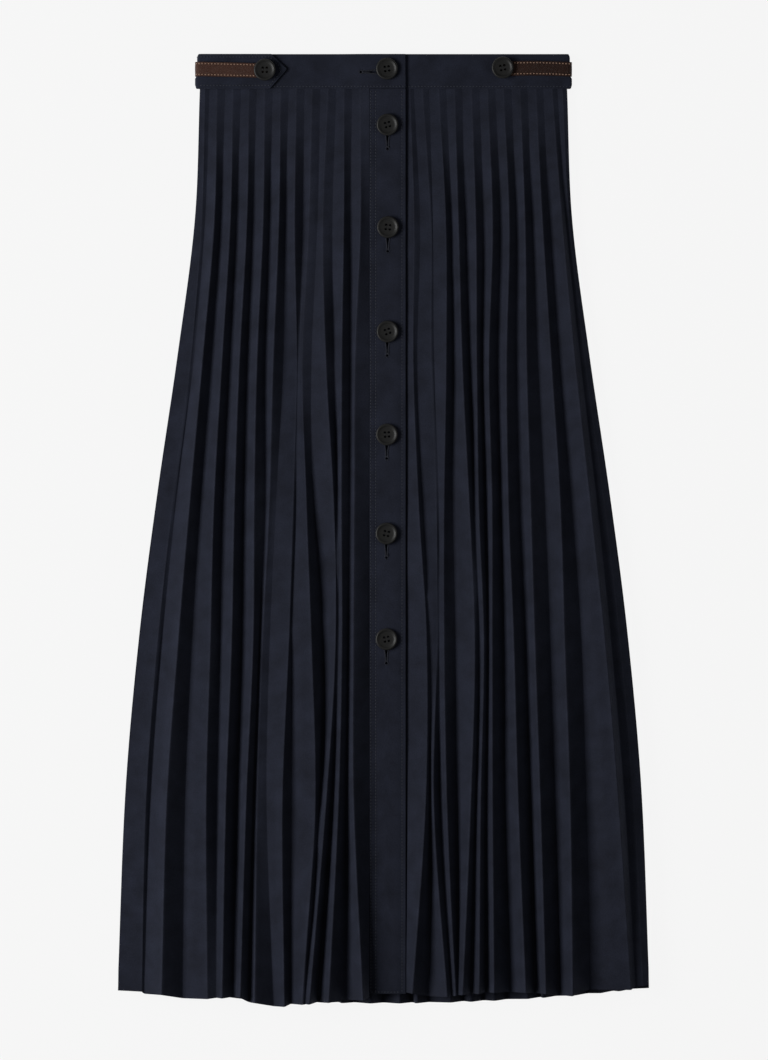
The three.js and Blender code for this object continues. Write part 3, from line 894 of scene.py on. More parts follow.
def slit_half_width(reach):
    """Half width of a buttonhole at a distance from the end of its eyelet. It opens towards its button."""
    inside = EYELET_RADIUS**2 - (reach - EYELET_RADIUS) ** 2
    opened = mix(SLIT["closed"], SLIT["open"], smooth((reach - SLIT["opens at"]) / SLIT["opens over"]))
    return max(opened, math.sqrt(max(inside, 0)))


def eyelet_reaches():
    return [2 * EYELET_RADIUS * i / EYELET_STEPS for i in range(EYELET_STEPS + 1)]


def placket_hole_x(down):
    """The line that the placket's buttons and buttonholes follow."""
    first = PLACKET_BUTTONS[0]
    if down <= first[1]:
        return first[0]
    for a, b in zip(PLACKET_BUTTONS, PLACKET_BUTTONS[1:]):
        if down <= b[1]:
            return mix(a[0], b[0], (down - a[1]) / (b[1] - a[1]))
    return PLACKET_BUTTONS[-1][0]


def placket_slit_at(down):
    """The button whose buttonhole reaches a distance down the placket, or None."""
    for button in PLACKET_BUTTONS:
        if button[1] <= down <= button[1] + BUTTONHOLE_LENGTH:
            return button
    return None


def placket_top(down):
    return middle_at(down) + LAYER_GAP / 2 + OVER_HEIGHT + DOUBLE_CLOTH


def placket_surface(x, down):
    """Outer side of the lapping placket, drawn in a little along its stitching."""
    rows = [PLACKET_LEFT + inset for inset in PLACKET_STITCH_LEFT] + [PLACKET_RIGHT - PLACKET_STITCH_RIGHT]
    depth = sum(groove(x - row) for row in rows) + groove(down - PLACKET_HEM + PLACKET_STITCH_HEM)
    return Vector((x, TOP - down, placket_top(down) - depth + ripple(x, down)))


def placket_downs():
    """Rows down the placket, closer at its hem and at the ends of the buttonholes."""
    downs = set(steps_between(SEAM, PLACKET_HEM - 0.004, 0.006))
    downs.update([PLACKET_HEM - 0.0022, PLACKET_HEM - PLACKET_STITCH_HEM, PLACKET_HEM - 0.0007, PLACKET_HEM])
    for _, centre, _ in PLACKET_BUTTONS:
        end = centre + BUTTONHOLE_LENGTH
        downs = {down for down in downs if not centre - 0.001 < down < end + 0.001}
        downs.update(steps_between(centre, end - 2 * EYELET_RADIUS, 0.004))
        downs.update(end - reach for reach in eyelet_reaches()[:-1])
    return sorted(downs)


def placket_columns(down):
    """Places across the placket, with one pair of columns along the buttonholes."""
    width = STITCH_GROOVE["width"]
    button = placket_slit_at(down)
    half = slit_half_width(button[1] + BUTTONHOLE_LENGTH - down) if button else SLIT["closed"]
    hole = placket_hole_x(down)
    columns = [PLACKET_LEFT, PLACKET_LEFT + 0.0005]
    for inset in PLACKET_STITCH_LEFT:
        columns += [PLACKET_LEFT + inset + off for off in (-width, 0, width)]
    columns += [-0.003, 0, hole - half, hole + half, hole + 0.004, hole + 0.008]
    columns += [PLACKET_RIGHT - PLACKET_STITCH_RIGHT + off for off in (-width, 0, width)]
    columns += [PLACKET_RIGHT - 0.001, PLACKET_RIGHT - 0.0005, PLACKET_RIGHT]
    return sorted(columns)


# Strap

def strap_path():
    """The strap's path from the right button round the back of the band to the left button."""
    reach = LEATHER + GAP
    right_height = FRONT_BAND_TOP + reach
    left_height = LAP_BAND_TOP + reach
    right = steps_between(SIDE_BUTTON_RIGHT[0] - STRAP["end"], RIGHT_FOLD[0], STRAP_STEP["front"])
    back = steps_between(RIGHT_FOLD[0], LEFT_FOLD[0], STRAP_STEP["back"])
    left = steps_between(LEFT_FOLD[0], SIDE_BUTTON_LEFT[0] + STRAP["end"], STRAP_STEP["front"])
    return [
        *on_top(right[:-1], lambda x: right_height),
        *side_fold(1, RIGHT_FOLD, RIGHT_FOLD_RADIUS + reach),
        *below(back[1:-1], RIGHT_FOLD[1] - RIGHT_FOLD_RADIUS - reach),
        *side_fold(-1, LEFT_FOLD, LEFT_FOLD_RADIUS + reach),
        *on_top(left[1:], lambda x: left_height),
    ]


def strap_centre(p):
    """How far down the middle of the strap is at a point of its path."""
    left_end = SIDE_BUTTON_LEFT[0] + STRAP["end"]
    right_end = SIDE_BUTTON_RIGHT[0] - STRAP["end"]
    if p.nz < 0.9:
        return STRAP["down"]
    if p.x < 0:
        t = (p.x - LEFT_FOLD[0]) / (left_end - LEFT_FOLD[0])
        return mix(STRAP["down"], STRAP["button down"], t)
    t = (p.x - right_end) / (RIGHT_FOLD[0] - right_end)
    return STRAP["down"] - STRAP["bow"] * math.sin(math.pi * t)


def strap_point(p, across, sink=0):
    """A point of the strap's outer side, at a distance across from its middle."""
    inside = STRAP["width"] / 2 - STRAP_STITCH_INSET
    depth = groove(across - inside) + groove(across + inside) + sink
    return Vector((p.x - p.nx * depth, TOP - strap_centre(p) - across, p.z - p.nz * depth))


# Stitches

def stitch_place(start, end, up, width):
    """Where one stitch of thread lies, partly sunk in the cloth."""
    run = end - start
    across = up.cross(run).normalized()
    turn = Matrix((across * width / 2, up * width / 2, run / 2)).transposed().to_4x4()
    return Matrix.Translation((start + end) / 2 + up * width * 0.1) @ turn


def sewn(places):
    """A mesh with one stitch at each place."""
    bm = bmesh.new()
    bmesh.ops.create_uvsphere(bm, u_segments=6, v_segments=4, radius=1)
    single = bpy.data.meshes.new("stitch")
    bm.to_mesh(single)
    bm.clear()
    for place in places:
        first = len(bm.verts)
        bm.from_mesh(single)
        bm.verts.ensure_lookup_table()
        for vert in bm.verts[first:]:
            vert.co = place @ vert.co
    bpy.data.meshes.remove(single)
    return bm


def stitch_row(path, length, gap, width):
    """Places of even stitches along a path of points, each with the way its cloth faces."""
    places = []
    walked = 0
    start = None
    wanted = gap / 2
    for (a, up_a), (b, up_b) in zip(path, path[1:]):
        run = (b - a).length
        while run and wanted <= walked + run:
            t = (wanted - walked) / run
            point = a.lerp(b, t)
            up = up_a.lerp(up_b, t).normalized()
            if start is None:
                start = point
                wanted += length
            else:
                places.append(stitch_place(start, point, up, width))
                start = None
                wanted += gap
        walked += run
    return places


def buttonhole_outline(length):
    """Edge of a buttonhole that runs along +u from its hidden end: points, each with the way out of it."""
    trim = bpy.context.scene.skirt_trim
    round_at = length - EYELET_RADIUS
    straight = round_at - math.sqrt(EYELET_RADIUS**2 - SLIT["closed"] ** 2)
    outline = []
    for side in (-1, 1):
        for u in steps_between(0, straight, trim.binding_pitch):
            outline.append(((u, side * slit_half_width(length - u)), (0, side)))
    open_angle = math.asin(SLIT["closed"] / EYELET_RADIUS)
    count = round(2 * (math.pi - open_angle) * EYELET_RADIUS / trim.binding_pitch)
    for i in range(count + 1):
        angle = mix(-math.pi + open_angle, math.pi - open_angle, i / count)
        way = (math.cos(angle), math.sin(angle))
        outline.append(((round_at + EYELET_RADIUS * way[0], EYELET_RADIUS * way[1]), way))
    return outline


# Materials

def add_node(tree, kind, inputs=None, **settings):
    node = tree.nodes.new(kind)
    for name, value in settings.items():
        setattr(node, name, value)
    for name, value in (inputs or {}).items():
        socket = node.inputs[name]
        if isinstance(value, bpy.types.NodeSocket):
            tree.links.new(value, socket)
        else:
            socket.default_value = value
    return node


def math_node(tree, operation, a, b=0.0):
    return add_node(tree, "ShaderNodeMath", {0: a, 1: b}, operation=operation).outputs[0]


def mix_colours(tree, share, a, b, blend="MIX"):
    node = add_node(tree, "ShaderNodeMix", data_type="RGBA", blend_type=blend)
    for name, value in (("Factor_Float", share), ("A_Color", a), ("B_Color", b)):
        socket = next(s for s in node.inputs if s.identifier == name)
        if isinstance(value, bpy.types.NodeSocket):
            tree.links.new(value, socket)
        else:
            socket.default_value = value
    return next(s for s in node.outputs if s.identifier == "Result_Color")


def new_group(name, inputs, outputs):
    group = bpy.data.node_groups.new(name, "ShaderNodeTree")
    for label, kind in inputs:
        group.interface.new_socket(label, in_out="INPUT", socket_type=kind)
    for label, kind in outputs:
        group.interface.new_socket(label, in_out="OUTPUT", socket_type=kind)
    return group, group.nodes.new("NodeGroupInput").outputs, group.nodes.new("NodeGroupOutput").inputs


def twill_group():
    """Fine twill over the cloth's own coordinates: its colour, roughness and height."""
    if "Fine twill" in bpy.data.node_groups:
        return bpy.data.node_groups["Fine twill"]
    group, given, result = new_group(
        "Fine twill",
        [("Cloth", "NodeSocketVector"), ("Colour", "NodeSocketColor"), ("Rib pitch", "NodeSocketFloat")],
        [("Colour", "NodeSocketColor"), ("Roughness", "NodeSocketFloat"), ("Height", "NodeSocketFloat")],
    )
    place = add_node(group, "ShaderNodeSeparateXYZ", {"Vector": given["Cloth"]}).outputs
    turn = math_node(group, "DIVIDE", math.tau, given["Rib pitch"])
    diagonal = math_node(group, "ADD", place["X"], place["Y"])
    rib = math_node(group, "SINE", math_node(group, "MULTIPLY", diagonal, turn))
    yarn_place = math_node(group, "MULTIPLY", place["X"], turn)
    yarn = math_node(group, "SINE", math_node(group, "MULTIPLY", yarn_place, 2.0))
    fuzz = add_node(group, "ShaderNodeTexNoise", {"Vector": given["Cloth"], "Scale": 900.0, "Detail": 2.0})
    mottle = add_node(
        group, "ShaderNodeTexNoise",
        {"Vector": given["Cloth"], "Scale": 45.0, "Detail": 5.0, "Roughness": 0.62},
    )
    fine_yarn = math_node(group, "MULTIPLY", yarn, 0.25)
    woven = math_node(group, "ADD", math_node(group, "MULTIPLY", rib, 0.6), fine_yarn)
    height = math_node(group, "ADD", woven, fuzz.outputs["Fac"])
    shade = math_node(group, "MULTIPLY_ADD", woven, 0.12)
    group.links.new(fuzz.outputs["Fac"], shade.node.inputs[2])
    dark = mix_colours(group, 1.0, given["Colour"], (0.50, 0.50, 0.53, 1), "MULTIPLY")
    light = mix_colours(group, 1.0, given["Colour"], (1.55, 1.55, 1.50, 1), "MULTIPLY")
    woven_colour = mix_colours(group, shade, dark, light)
    cloudy = add_node(
        group, "ShaderNodeMapRange",
        {"Value": mottle.outputs["Fac"], "From Min": 0.3, "From Max": 0.7, "To Min": 0.72, "To Max": 1.28},
    )
    colour = mix_colours(group, 1.0, woven_colour, cloudy.outputs["Result"], "MULTIPLY")
    rough = add_node(
        group, "ShaderNodeMapRange", {"Value": mottle.outputs["Fac"], "To Min": 0.78, "To Max": 0.90}
    )
    group.links.new(colour, result["Colour"])
    group.links.new(rough.outputs["Result"], result["Roughness"])
    group.links.new(height, result["Height"])
    return group


def grain_group():
    """Pebbled grain: cells with fine wrinkles between them, as a mask, and a height."""
    if "Pebbled grain" in bpy.data.node_groups:
        return bpy.data.node_groups["Pebbled grain"]
    group, given, result = new_group(
        "Pebbled grain",
        [("Place", "NodeSocketVector"), ("Scale", "NodeSocketFloat")],
        [("Mask", "NodeSocketFloat"), ("Height", "NodeSocketFloat")],
    )
    cells = add_node(
        group, "ShaderNodeTexVoronoi", {"Vector": given["Place"], "Scale": given["Scale"]},
        feature="DISTANCE_TO_EDGE",
    )
    soft = add_node(
        group, "ShaderNodeTexNoise", {"Vector": given["Place"], "Scale": given["Scale"], "Detail": 3.0}
    )
    pebble = add_node(group, "ShaderNodeMapRange", {"Value": cells.outputs["Distance"], "From Max": 0.25})
    wrinkle = math_node(group, "MULTIPLY", soft.outputs["Fac"], 0.6)
    height = math_node(group, "ADD", pebble.outputs["Result"], wrinkle)
    group.links.new(soft.outputs["Fac"], result["Mask"])
    group.links.new(height, result["Height"])
    return group


def new_material(name):
    material = bpy.data.materials.new(name)
    material.use_nodes = True
    material.node_tree.nodes.clear()
    return material, material.node_tree


def finish_material(tree, height, strength, distance, **sockets):
    """Joins a material's values to its shader, with a bump from the given height."""
    bump = add_node(tree, "ShaderNodeBump", {"Height": height, "Strength": strength, "Distance": distance})
    inputs = {name.replace("_", " "): value for name, value in sockets.items()}
    shader = add_node(tree, "ShaderNodeBsdfPrincipled", {**inputs, "Normal": bump.outputs["Normal"]})
    output = add_node(tree, "ShaderNodeOutputMaterial")
    tree.links.new(shader.outputs["BSDF"], output.inputs["Surface"])
    return shader


def opaque(colour):
    return (*colour, 1)


def navy_cloth():
    """Navy twill, with a painted highlight along the ridges of the pressed folds and painted shade in the
    troughs of the puckers along the placket stitching.
    """
    if "Navy twill" in bpy.data.materials:
        return bpy.data.materials["Navy twill"]
    cloth = bpy.context.scene.skirt_cloth
    material, tree = new_material("Navy twill")
    lay = add_node(tree, "ShaderNodeUVMap", uv_map="cloth").outputs["UV"]
    weave = add_node(tree, "ShaderNodeGroup", node_tree=twill_group())
    tree.links.new(lay, weave.inputs["Cloth"])
    weave.inputs["Colour"].default_value = opaque(cloth.colour)
    weave.inputs["Rib pitch"].default_value = cloth.rib_pitch
    ridge_highlight_mask = add_node(tree, "ShaderNodeAttribute", attribute_name="ridge_highlight_mask").outputs["Fac"]
    # Painted highlight: the cloth is made lighter along the ridge columns, standing in for light caught on
    # the pressed edges.
    ridge_highlight_colour = mix_colours(tree, 1.0, weave.outputs["Colour"], (1.22, 1.2, 1.16, 1), "MULTIPLY")
    pressed = mix_colours(tree, ridge_highlight_mask, weave.outputs["Colour"], ridge_highlight_colour)
    pucker = add_node(tree, "ShaderNodeAttribute", attribute_name="pucker").outputs["Fac"]
    down = add_node(tree, "ShaderNodeSeparateXYZ", {"Vector": lay}).outputs["Y"]
    wave = math_node(tree, "SINE", math_node(tree, "MULTIPLY", down, math.tau / PUCKER["pitch"]))
    patches = add_node(tree, "ShaderNodeTexNoise", {"Vector": lay, "Scale": 60.0, "Detail": 1.0})
    uneven = patches.outputs["Fac"]
    drawn = math_node(tree, "MULTIPLY", math_node(tree, "MULTIPLY", wave, pucker), uneven)
    # Painted shade: the cloth is darkened in the troughs of the puckers, where the stitching draws it in.
    trough_shade = math_node(tree, "MULTIPLY", math_node(tree, "MAXIMUM", drawn, 0.0), PUCKER["shade"])
    dark = mix_colours(tree, 1.0, pressed, (0.3, 0.3, 0.3, 1), "MULTIPLY")
    colour = mix_colours(tree, trough_shade, pressed, dark)
    sunk = math_node(tree, "MULTIPLY", drawn, PUCKER["height"])
    height = math_node(tree, "SUBTRACT", weave.outputs["Height"], sunk)
    shader = finish_material(
        tree, height, 0.25, 0.0002,
        Base_Color=colour, Roughness=weave.outputs["Roughness"], Specular_IOR_Level=0.12,
        Sheen_Weight=0.06, Sheen_Roughness=0.5,
    )
    shader.inputs["Sheen Tint"].default_value = (0.55, 0.62, 0.85, 1)
    return material


def thread(name, colour):
    """Twisted sewing thread."""
    if name in bpy.data.materials:
        return bpy.data.materials[name]
    material, tree = new_material(name)
    place = add_node(tree, "ShaderNodeTexCoord").outputs["Object"]
    twist = add_node(
        tree, "ShaderNodeTexWave", {"Vector": place, "Scale": 700.0, "Distortion": 1.5},
        bands_direction="DIAGONAL",
    ).outputs["Fac"]
    dark = mix_colours(tree, 1.0, opaque(colour), (0.75, 0.75, 0.75, 1), "MULTIPLY")
    shade = mix_colours(tree, twist, dark, opaque(colour))
    finish_material(tree, twist, 0.3, 0.0001, Base_Color=shade, Roughness=0.65, Specular_IOR_Level=0.3)
    return material


def brown_leather():
    """Grained leather with darker edge paint, and painted shade that darkens it from its left end to its
    right end.
    """
    trim = bpy.context.scene.skirt_trim
    material, tree = new_material("Brown leather")
    place = add_node(tree, "ShaderNodeTexCoord").outputs["Object"]
    grain = add_node(tree, "ShaderNodeGroup", node_tree=grain_group())
    tree.links.new(place, grain.inputs["Place"])
    grain.inputs["Scale"].default_value = 1100.0
    clouds = add_node(tree, "ShaderNodeTexNoise", {"Vector": place, "Scale": 90.0, "Detail": 4.0})
    wear = clouds.outputs["Fac"]
    light = mix_colours(tree, 1.0, opaque(trim.leather_colour), (1.35, 1.3, 1.25, 1), "MULTIPLY")
    dark = mix_colours(tree, 1.0, opaque(trim.leather_colour), (0.7, 0.68, 0.66, 1), "MULTIPLY")
    along_x = add_node(tree, "ShaderNodeSeparateXYZ", {"Vector": place}).outputs["X"]
    # Painted shade: the leather darkens from left to right across the skirt, as if lit from the left.
    painted_left_right_shade = add_node(
        tree, "ShaderNodeMapRange",
        {"Value": along_x, "From Min": -0.15, "From Max": 0.15, "To Min": 1.05, "To Max": 0.38},
    )
    hide = mix_colours(tree, wear, dark, light)
    base = mix_colours(tree, 1.0, hide, painted_left_right_shade.outputs["Result"], "MULTIPLY")
    speckled = mix_colours(tree, math_node(tree, "MULTIPLY", grain.outputs["Mask"], 0.35), base, dark)
    edge = add_node(tree, "ShaderNodeAttribute", attribute_name="edge").outputs["Fac"]
    colour = mix_colours(tree, math_node(tree, "MULTIPLY", edge, 0.6), speckled, dark)
    rough = add_node(tree, "ShaderNodeMapRange", {"Value": wear, "To Min": 0.38, "To Max": 0.6})
    finish_material(
        tree, grain.outputs["Height"], 0.5, 0.0004,
        Base_Color=colour, Roughness=rough.outputs["Result"], Specular_IOR_Level=0.14,
    )
    return material


def dark_horn():
    """Dark horn with faint streaks and fine scratches."""
    if "Dark horn" in bpy.data.materials:
        return bpy.data.materials["Dark horn"]
    trim = bpy.context.scene.skirt_trim
    material, tree = new_material("Dark horn")
    place = add_node(tree, "ShaderNodeTexCoord").outputs["Object"]
    stretch = add_node(tree, "ShaderNodeMapping", {"Vector": place, "Scale": (60.0, 400.0, 60.0)})
    streaks = {"Vector": stretch.outputs["Vector"], "Scale": 4.0, "Detail": 4.0}
    streak = add_node(tree, "ShaderNodeTexNoise", streaks).outputs["Fac"]
    scratches = {"Vector": place, "Scale": 2500.0, "Detail": 2.0}
    scratch = add_node(tree, "ShaderNodeTexNoise", scratches).outputs["Fac"]
    light = mix_colours(tree, 1.0, opaque(trim.button_colour), (1.5, 1.45, 1.4, 1), "MULTIPLY")
    dark = mix_colours(tree, 1.0, opaque(trim.button_colour), (0.7, 0.7, 0.7, 1), "MULTIPLY")
    colour = mix_colours(tree, streak, dark, light)
    rough = add_node(tree, "ShaderNodeMapRange", {"Value": streak, "To Min": 0.36, "To Max": 0.54})
    finish_material(
        tree, scratch, 0.08, 0.0002,
        Base_Color=colour, Roughness=rough.outputs["Result"], Specular_IOR_Level=0.28,
    )
    return material


# Operators

class SKIRT_OT_front_panels(bpy.types.Operator):
    """Makes the two accordion-pleated fronts"""

    bl_idname = "skirt.front_panels"
    bl_label = "Front panels"

    def execute(self, context):
        cloth = context.scene.skirt_cloth
        left_ends = (0, OVER_HEIGHT + DOUBLE_CLOTH - SOLID_CLOTH - SEAM_STEP)
        right_ends = (SEAM_STEP, 0)
        fronts = [
            ("left_front_cloth", "front_panel_left", LEFT_PLEATS, lambda down: -half_width_at(down),
             lambda down: PLACKET_LEFT - GAP, left_ends, LEFT_CREASES, 1.7),
            ("right_front_cloth", "front_panel_right", RIGHT_PLEATS, lambda down: PLACKET_RIGHT + GAP,
             half_width_at, right_ends, RIGHT_CREASES, 8.2),
        ]
        for name, node, panel, left, right, ends, creases, seed in fronts:
            rows, ridge_highlight_mask = front_rows(panel, left, right, ends, creases, seed, cloth)
            bm = grid_of(rows)
            # Mask of the ridge columns that get the painted highlight in the cloth's material
            layer = bm.verts.layers.float.new("ridge_highlight_mask")
            for vert in bm.verts:
                vert[layer] = ridge_highlight_mask[vert.index % len(ridge_highlight_mask)]
            thicken(bm, cloth.thickness)
            piece = finish_piece(bm, name, navy_cloth(), "navy_cloth", node)
        return {"FINISHED"}


class SKIRT_OT_back_panel(bpy.types.Operator):
    """Makes the accordion-pleated back, which lies under the fronts"""

    bl_idname = "skirt.back_panel"
    bl_label = "Back panel"

    def execute(self, context):
        cloth = context.scene.skirt_cloth
        rows = back_rows(cloth)
        bm = grid_of(rows)
        thicken(bm, cloth.thickness)
        piece = finish_piece(bm, "back_cloth", navy_cloth(), "navy_cloth", "back_panel")
        return {"FINISHED"}


class SKIRT_OT_plackets(bpy.types.Operator):
    """Makes the lapping placket, with its buttonholes cut, and the button stand under it"""

    bl_idname = "skirt.plackets"
    bl_label = "Plackets"

    def execute(self, context):
        downs = placket_downs()
        rows = [[placket_surface(x, down) for x in placket_columns(down)] for down in downs]
        hole_column = placket_columns(SEAM).index(placket_hole_x(SEAM) - SLIT["closed"])
        bm = grid_of(rows)

        def in_slit(i, k):
            middle = (downs[i] + downs[i + 1]) / 2
            return k == hole_column and placket_slit_at(middle) is not None

        bmesh.ops.delete(bm, geom=grid_faces(bm, rows, in_slit), context="FACES")
        layer = bm.verts.layers.float.new("pucker")
        for vert in bm.verts:
            vert[layer] = 1 if PUCKER_LEFT < vert.co.x < PUCKER_RIGHT else 0
        thicken(bm, DOUBLE_CLOTH, CLOTH_EDGE)
        over = finish_piece(bm, "placket_cloth", navy_cloth(), "navy_cloth", "placket_over")

        rows = []
        for down in steps_between(SEAM, STAND_HEM, STAND_STEP["down"]):
            height = middle_at(down) + LAYER_GAP / 2 + DOUBLE_CLOTH
            places = steps_between(STAND_LEFT, PLACKET_RIGHT, STAND_STEP["across"])
            rows.append([Vector((x, TOP - down, height)) for x in places])
        bm = grid_of(rows)
        thicken(bm, DOUBLE_CLOTH, CLOTH_EDGE)
        under = finish_piece(bm, "button_stand_cloth", navy_cloth(), "navy_cloth", "placket_under")
        return {"FINISHED"}


class SKIRT_OT_waistband(bpy.types.Operator):
    """Makes the four pieces of the waistband, with the buttonhole cut and the tab's pointed end"""

    bl_idname = "skirt.waistband"
    bl_label = "Waistband"

    def execute(self, context):
        self.make_left()
        for name, node, path in (
            ("right_band_cloth", "waistband_front_right", right_band_path()),
            ("back_band_cloth", "waistband_back", back_band_path()),
        ):
            rows = [[band_point(p, down) for p in path] for down in band_downs()]
            self.make(name, node, rows, self.length(path))
        self.make_tab()
        return {"FINISHED"}

    def length(self, path):
        return sum(math.hypot(b.x - a.x, b.z - a.z) for a, b in zip(path, path[1:]))

    def make(self, name, node, rows, length, slit=None):
        bm = grid_of(rows)
        if slit:
            bmesh.ops.delete(bm, geom=grid_faces(bm, rows, slit), context="FACES")
        thicken(bm, DOUBLE_CLOTH, CLOTH_EDGE)
        piece = finish_piece(bm, name, navy_cloth(), "navy_cloth", node)

    def make_left(self):
        end = WAIST_BUTTON[0] - WAIST_HOLE["length"]
        reaches = [*eyelet_reaches(), *steps_between(2 * EYELET_RADIUS, WAIST_HOLE["length"], 0.003)[1:]]
        places = set(steps_between(LEFT_FOLD[0], PLACKET_RIGHT, BAND_STEP))
        places = {x for x in places if not end - 0.001 < x < WAIST_BUTTON[0] + 0.001}
        places.update(end + reach for reach in reaches)
        places.update([PLACKET_RIGHT - 0.0006])
        path = on_top(sorted(places), lap_height)
        hole = WAIST_HOLE["down"]
        downs = [down for down in band_downs() if abs(down - hole) > 2 * EYELET_RADIUS]
        above = sum(down < hole for down in downs)
        downs[above:above] = [None, None]
        rows = []
        for i, down in enumerate(downs):
            row = []
            for p in path:
                side = -1 if i == above else 1
                place_down = hole + side * slit_half_width(p.x - end) if down is None else down
                row.append(band_point(p, place_down))
            rows.append(row)

        def in_slit(i, k):
            middle = (path[k].x + path[k + 1].x) / 2
            return i == above and end < middle < WAIST_BUTTON[0]

        self.make("left_band_cloth", "waistband_front_left", rows, self.length(path), in_slit)

    def make_tab(self):
        path = tab_path()
        rows = []
        for down in band_downs():
            row = []
            for p in path:
                point = band_point(p, down)
                point.y = TOP - tab_down(p.x, down, p.nz > 0.9)
                row.append(point)
            rows.append(row)
        self.make("side_tab_cloth", "side_tab_left", rows, self.length(path))


class SKIRT_OT_leather_strap(bpy.types.Operator):
    """Makes the leather strap that goes round the back of the waistband, with its two rows of stitches"""

    bl_idname = "skirt.leather_strap"
    bl_label = "Leather strap"

    def execute(self, context):
        trim = context.scene.skirt_trim
        path = strap_path()
        half = STRAP["width"] / 2
        inside = half - STRAP_STITCH_INSET
        width = STITCH_GROOVE["width"]
        across = [-half, -half + 0.0004, -inside - width, -inside, -inside + width, -0.002]
        across += [-value for value in reversed(across)]
        rows = [[strap_point(p, place) for p in path] for place in across]
        bm = grid_of(rows)
        layer = bm.verts.layers.float.new("edge")
        for vert in bm.verts:
            row = len(rows) - 1 - vert.index // len(path)
            vert[layer] = 1 if row in (0, len(rows) - 1) else 0
        thicken(bm, LEATHER, LEATHER_EDGE)
        finish_piece(bm, "strap_leather", brown_leather(), "brown_leather", "leather_strap")

        places = []
        for place in (-inside, inside):
            line = [
                (strap_point(p, place, STITCH_SINK if p.nz < 0 else 0), Vector((p.nx, 0, p.nz))) for p in path
            ]
            places += stitch_row(line, trim.stitch_length, trim.stitch_gap, trim.tan_width)
        finish_piece(sewn(places), "strap_stitches", thread("Tan thread", trim.tan_colour), "brown_leather")
        return {"FINISHED"}


class SKIRT_OT_buttons(bpy.types.Operator):
    """Makes the nine dished buttons with their sewing holes and thread"""

    bl_idname = "skirt.buttons"
    bl_label = "Buttons"

    def blank(self, radius, thickness):
        bm = bmesh.new()
        section = [bm.verts.new((part * radius, 0, height * thickness)) for part, height in BUTTON_SECTION]
        edges = [bm.edges.new(pair) for pair in zip(section, section[1:])]
        bmesh.ops.spin(
            bm, geom=[*section, *edges], axis=(0, 0, 1), cent=(0, 0, 0), angle=math.tau,
            steps=BUTTON_SIDES, use_merge=True,
        )
        bmesh.ops.remove_doubles(bm, verts=bm.verts[:], dist=1e-6)
        bmesh.ops.recalc_face_normals(bm, faces=bm.faces[:])
        return bm

    def drill(self):
        bm = bmesh.new()
        for x in (-1, 1):
            for y in (-1, 1):
                place = Vector((x, y, 0)) * BUTTON_HOLE["offset"]
                bmesh.ops.create_cone(
                    bm, cap_ends=True, segments=BUTTON_HOLE["sides"],
                    radius1=BUTTON_HOLE["radius"], radius2=BUTTON_HOLE["radius"],
                    depth=BUTTON_HOLE["length"], matrix=Matrix.Translation(place),
                )
        return bm

    def scratch_object(self, bm, name):
        mesh = bpy.data.meshes.new(name)
        bm.to_mesh(mesh)
        bm.free()
        made = bpy.data.objects.new(name, mesh)
        bpy.context.scene.collection.objects.link(made)
        return made

    def drilled_mesh(self, radius, thickness):
        blank = self.scratch_object(self.blank(radius, thickness), "button blank")
        drill = self.scratch_object(self.drill(), "button drill")
        rounder = blank.modifiers.new("Rounded", "SUBSURF")
        rounder.levels = rounder.render_levels = 1
        cut = blank.modifiers.new("Sewing holes", "BOOLEAN")
        cut.operation = "DIFFERENCE"
        cut.solver = "EXACT"
        cut.object = drill
        graph = bpy.context.evaluated_depsgraph_get()
        mesh = bpy.data.meshes.new_from_object(blank.evaluated_get(graph))
        bpy.data.objects.remove(blank)
        bpy.data.objects.remove(drill)
        return mesh

    def execute(self, context):
        trim = context.scene.skirt_trim
        low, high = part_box(BUTTON_NODES[0])
        radius = (high.x - low.x) / 2
        thickness = high.z - low.z
        drilled = self.drilled_mesh(radius, thickness)
        threads = []
        for node, degrees in zip(BUTTON_NODES, BUTTON_TURNS):
            x, down, under = BUTTON_PLACES[node]
            turn = Matrix.Rotation(math.radians(degrees), 4, "Z")
            place = Matrix.Translation((x, TOP - down, under)) @ turn
            bm = bmesh.new()
            bm.from_mesh(drilled)
            bm.transform(place)
            bm.normal_update()
            for edge in bm.edges:
                edge.smooth = edge.calc_face_angle(0) < SHARP_EDGE
            finish_piece(bm, node.replace("button", "horn_button"), dark_horn(), "dark_button", node)
            offset = BUTTON_HOLE["offset"]
            floor = thickness * BUTTON_SECTION[-1][1]
            for side in (-offset, offset):
                for lean in (-BUTTON_THREAD["lean"], BUTTON_THREAD["lean"]):
                    start = place @ Vector((side + lean, -offset, floor - BUTTON_THREAD["sink"]))
                    end = place @ Vector((side + lean, offset, floor - BUTTON_THREAD["sink"]))
                    threads.append(stitch_place(start, end, Vector((0, 0, 1)), BUTTON_THREAD["width"]))
        # The button thread is real thread, made nearly black as painted shade in the sewing holes.
        dark = thread("Dark thread", trim.hole_thread_shade_colour)
        finish_piece(sewn(threads), "button_threads", dark, "dark_button")
        bpy.data.meshes.remove(drilled)
        return {"FINISHED"}


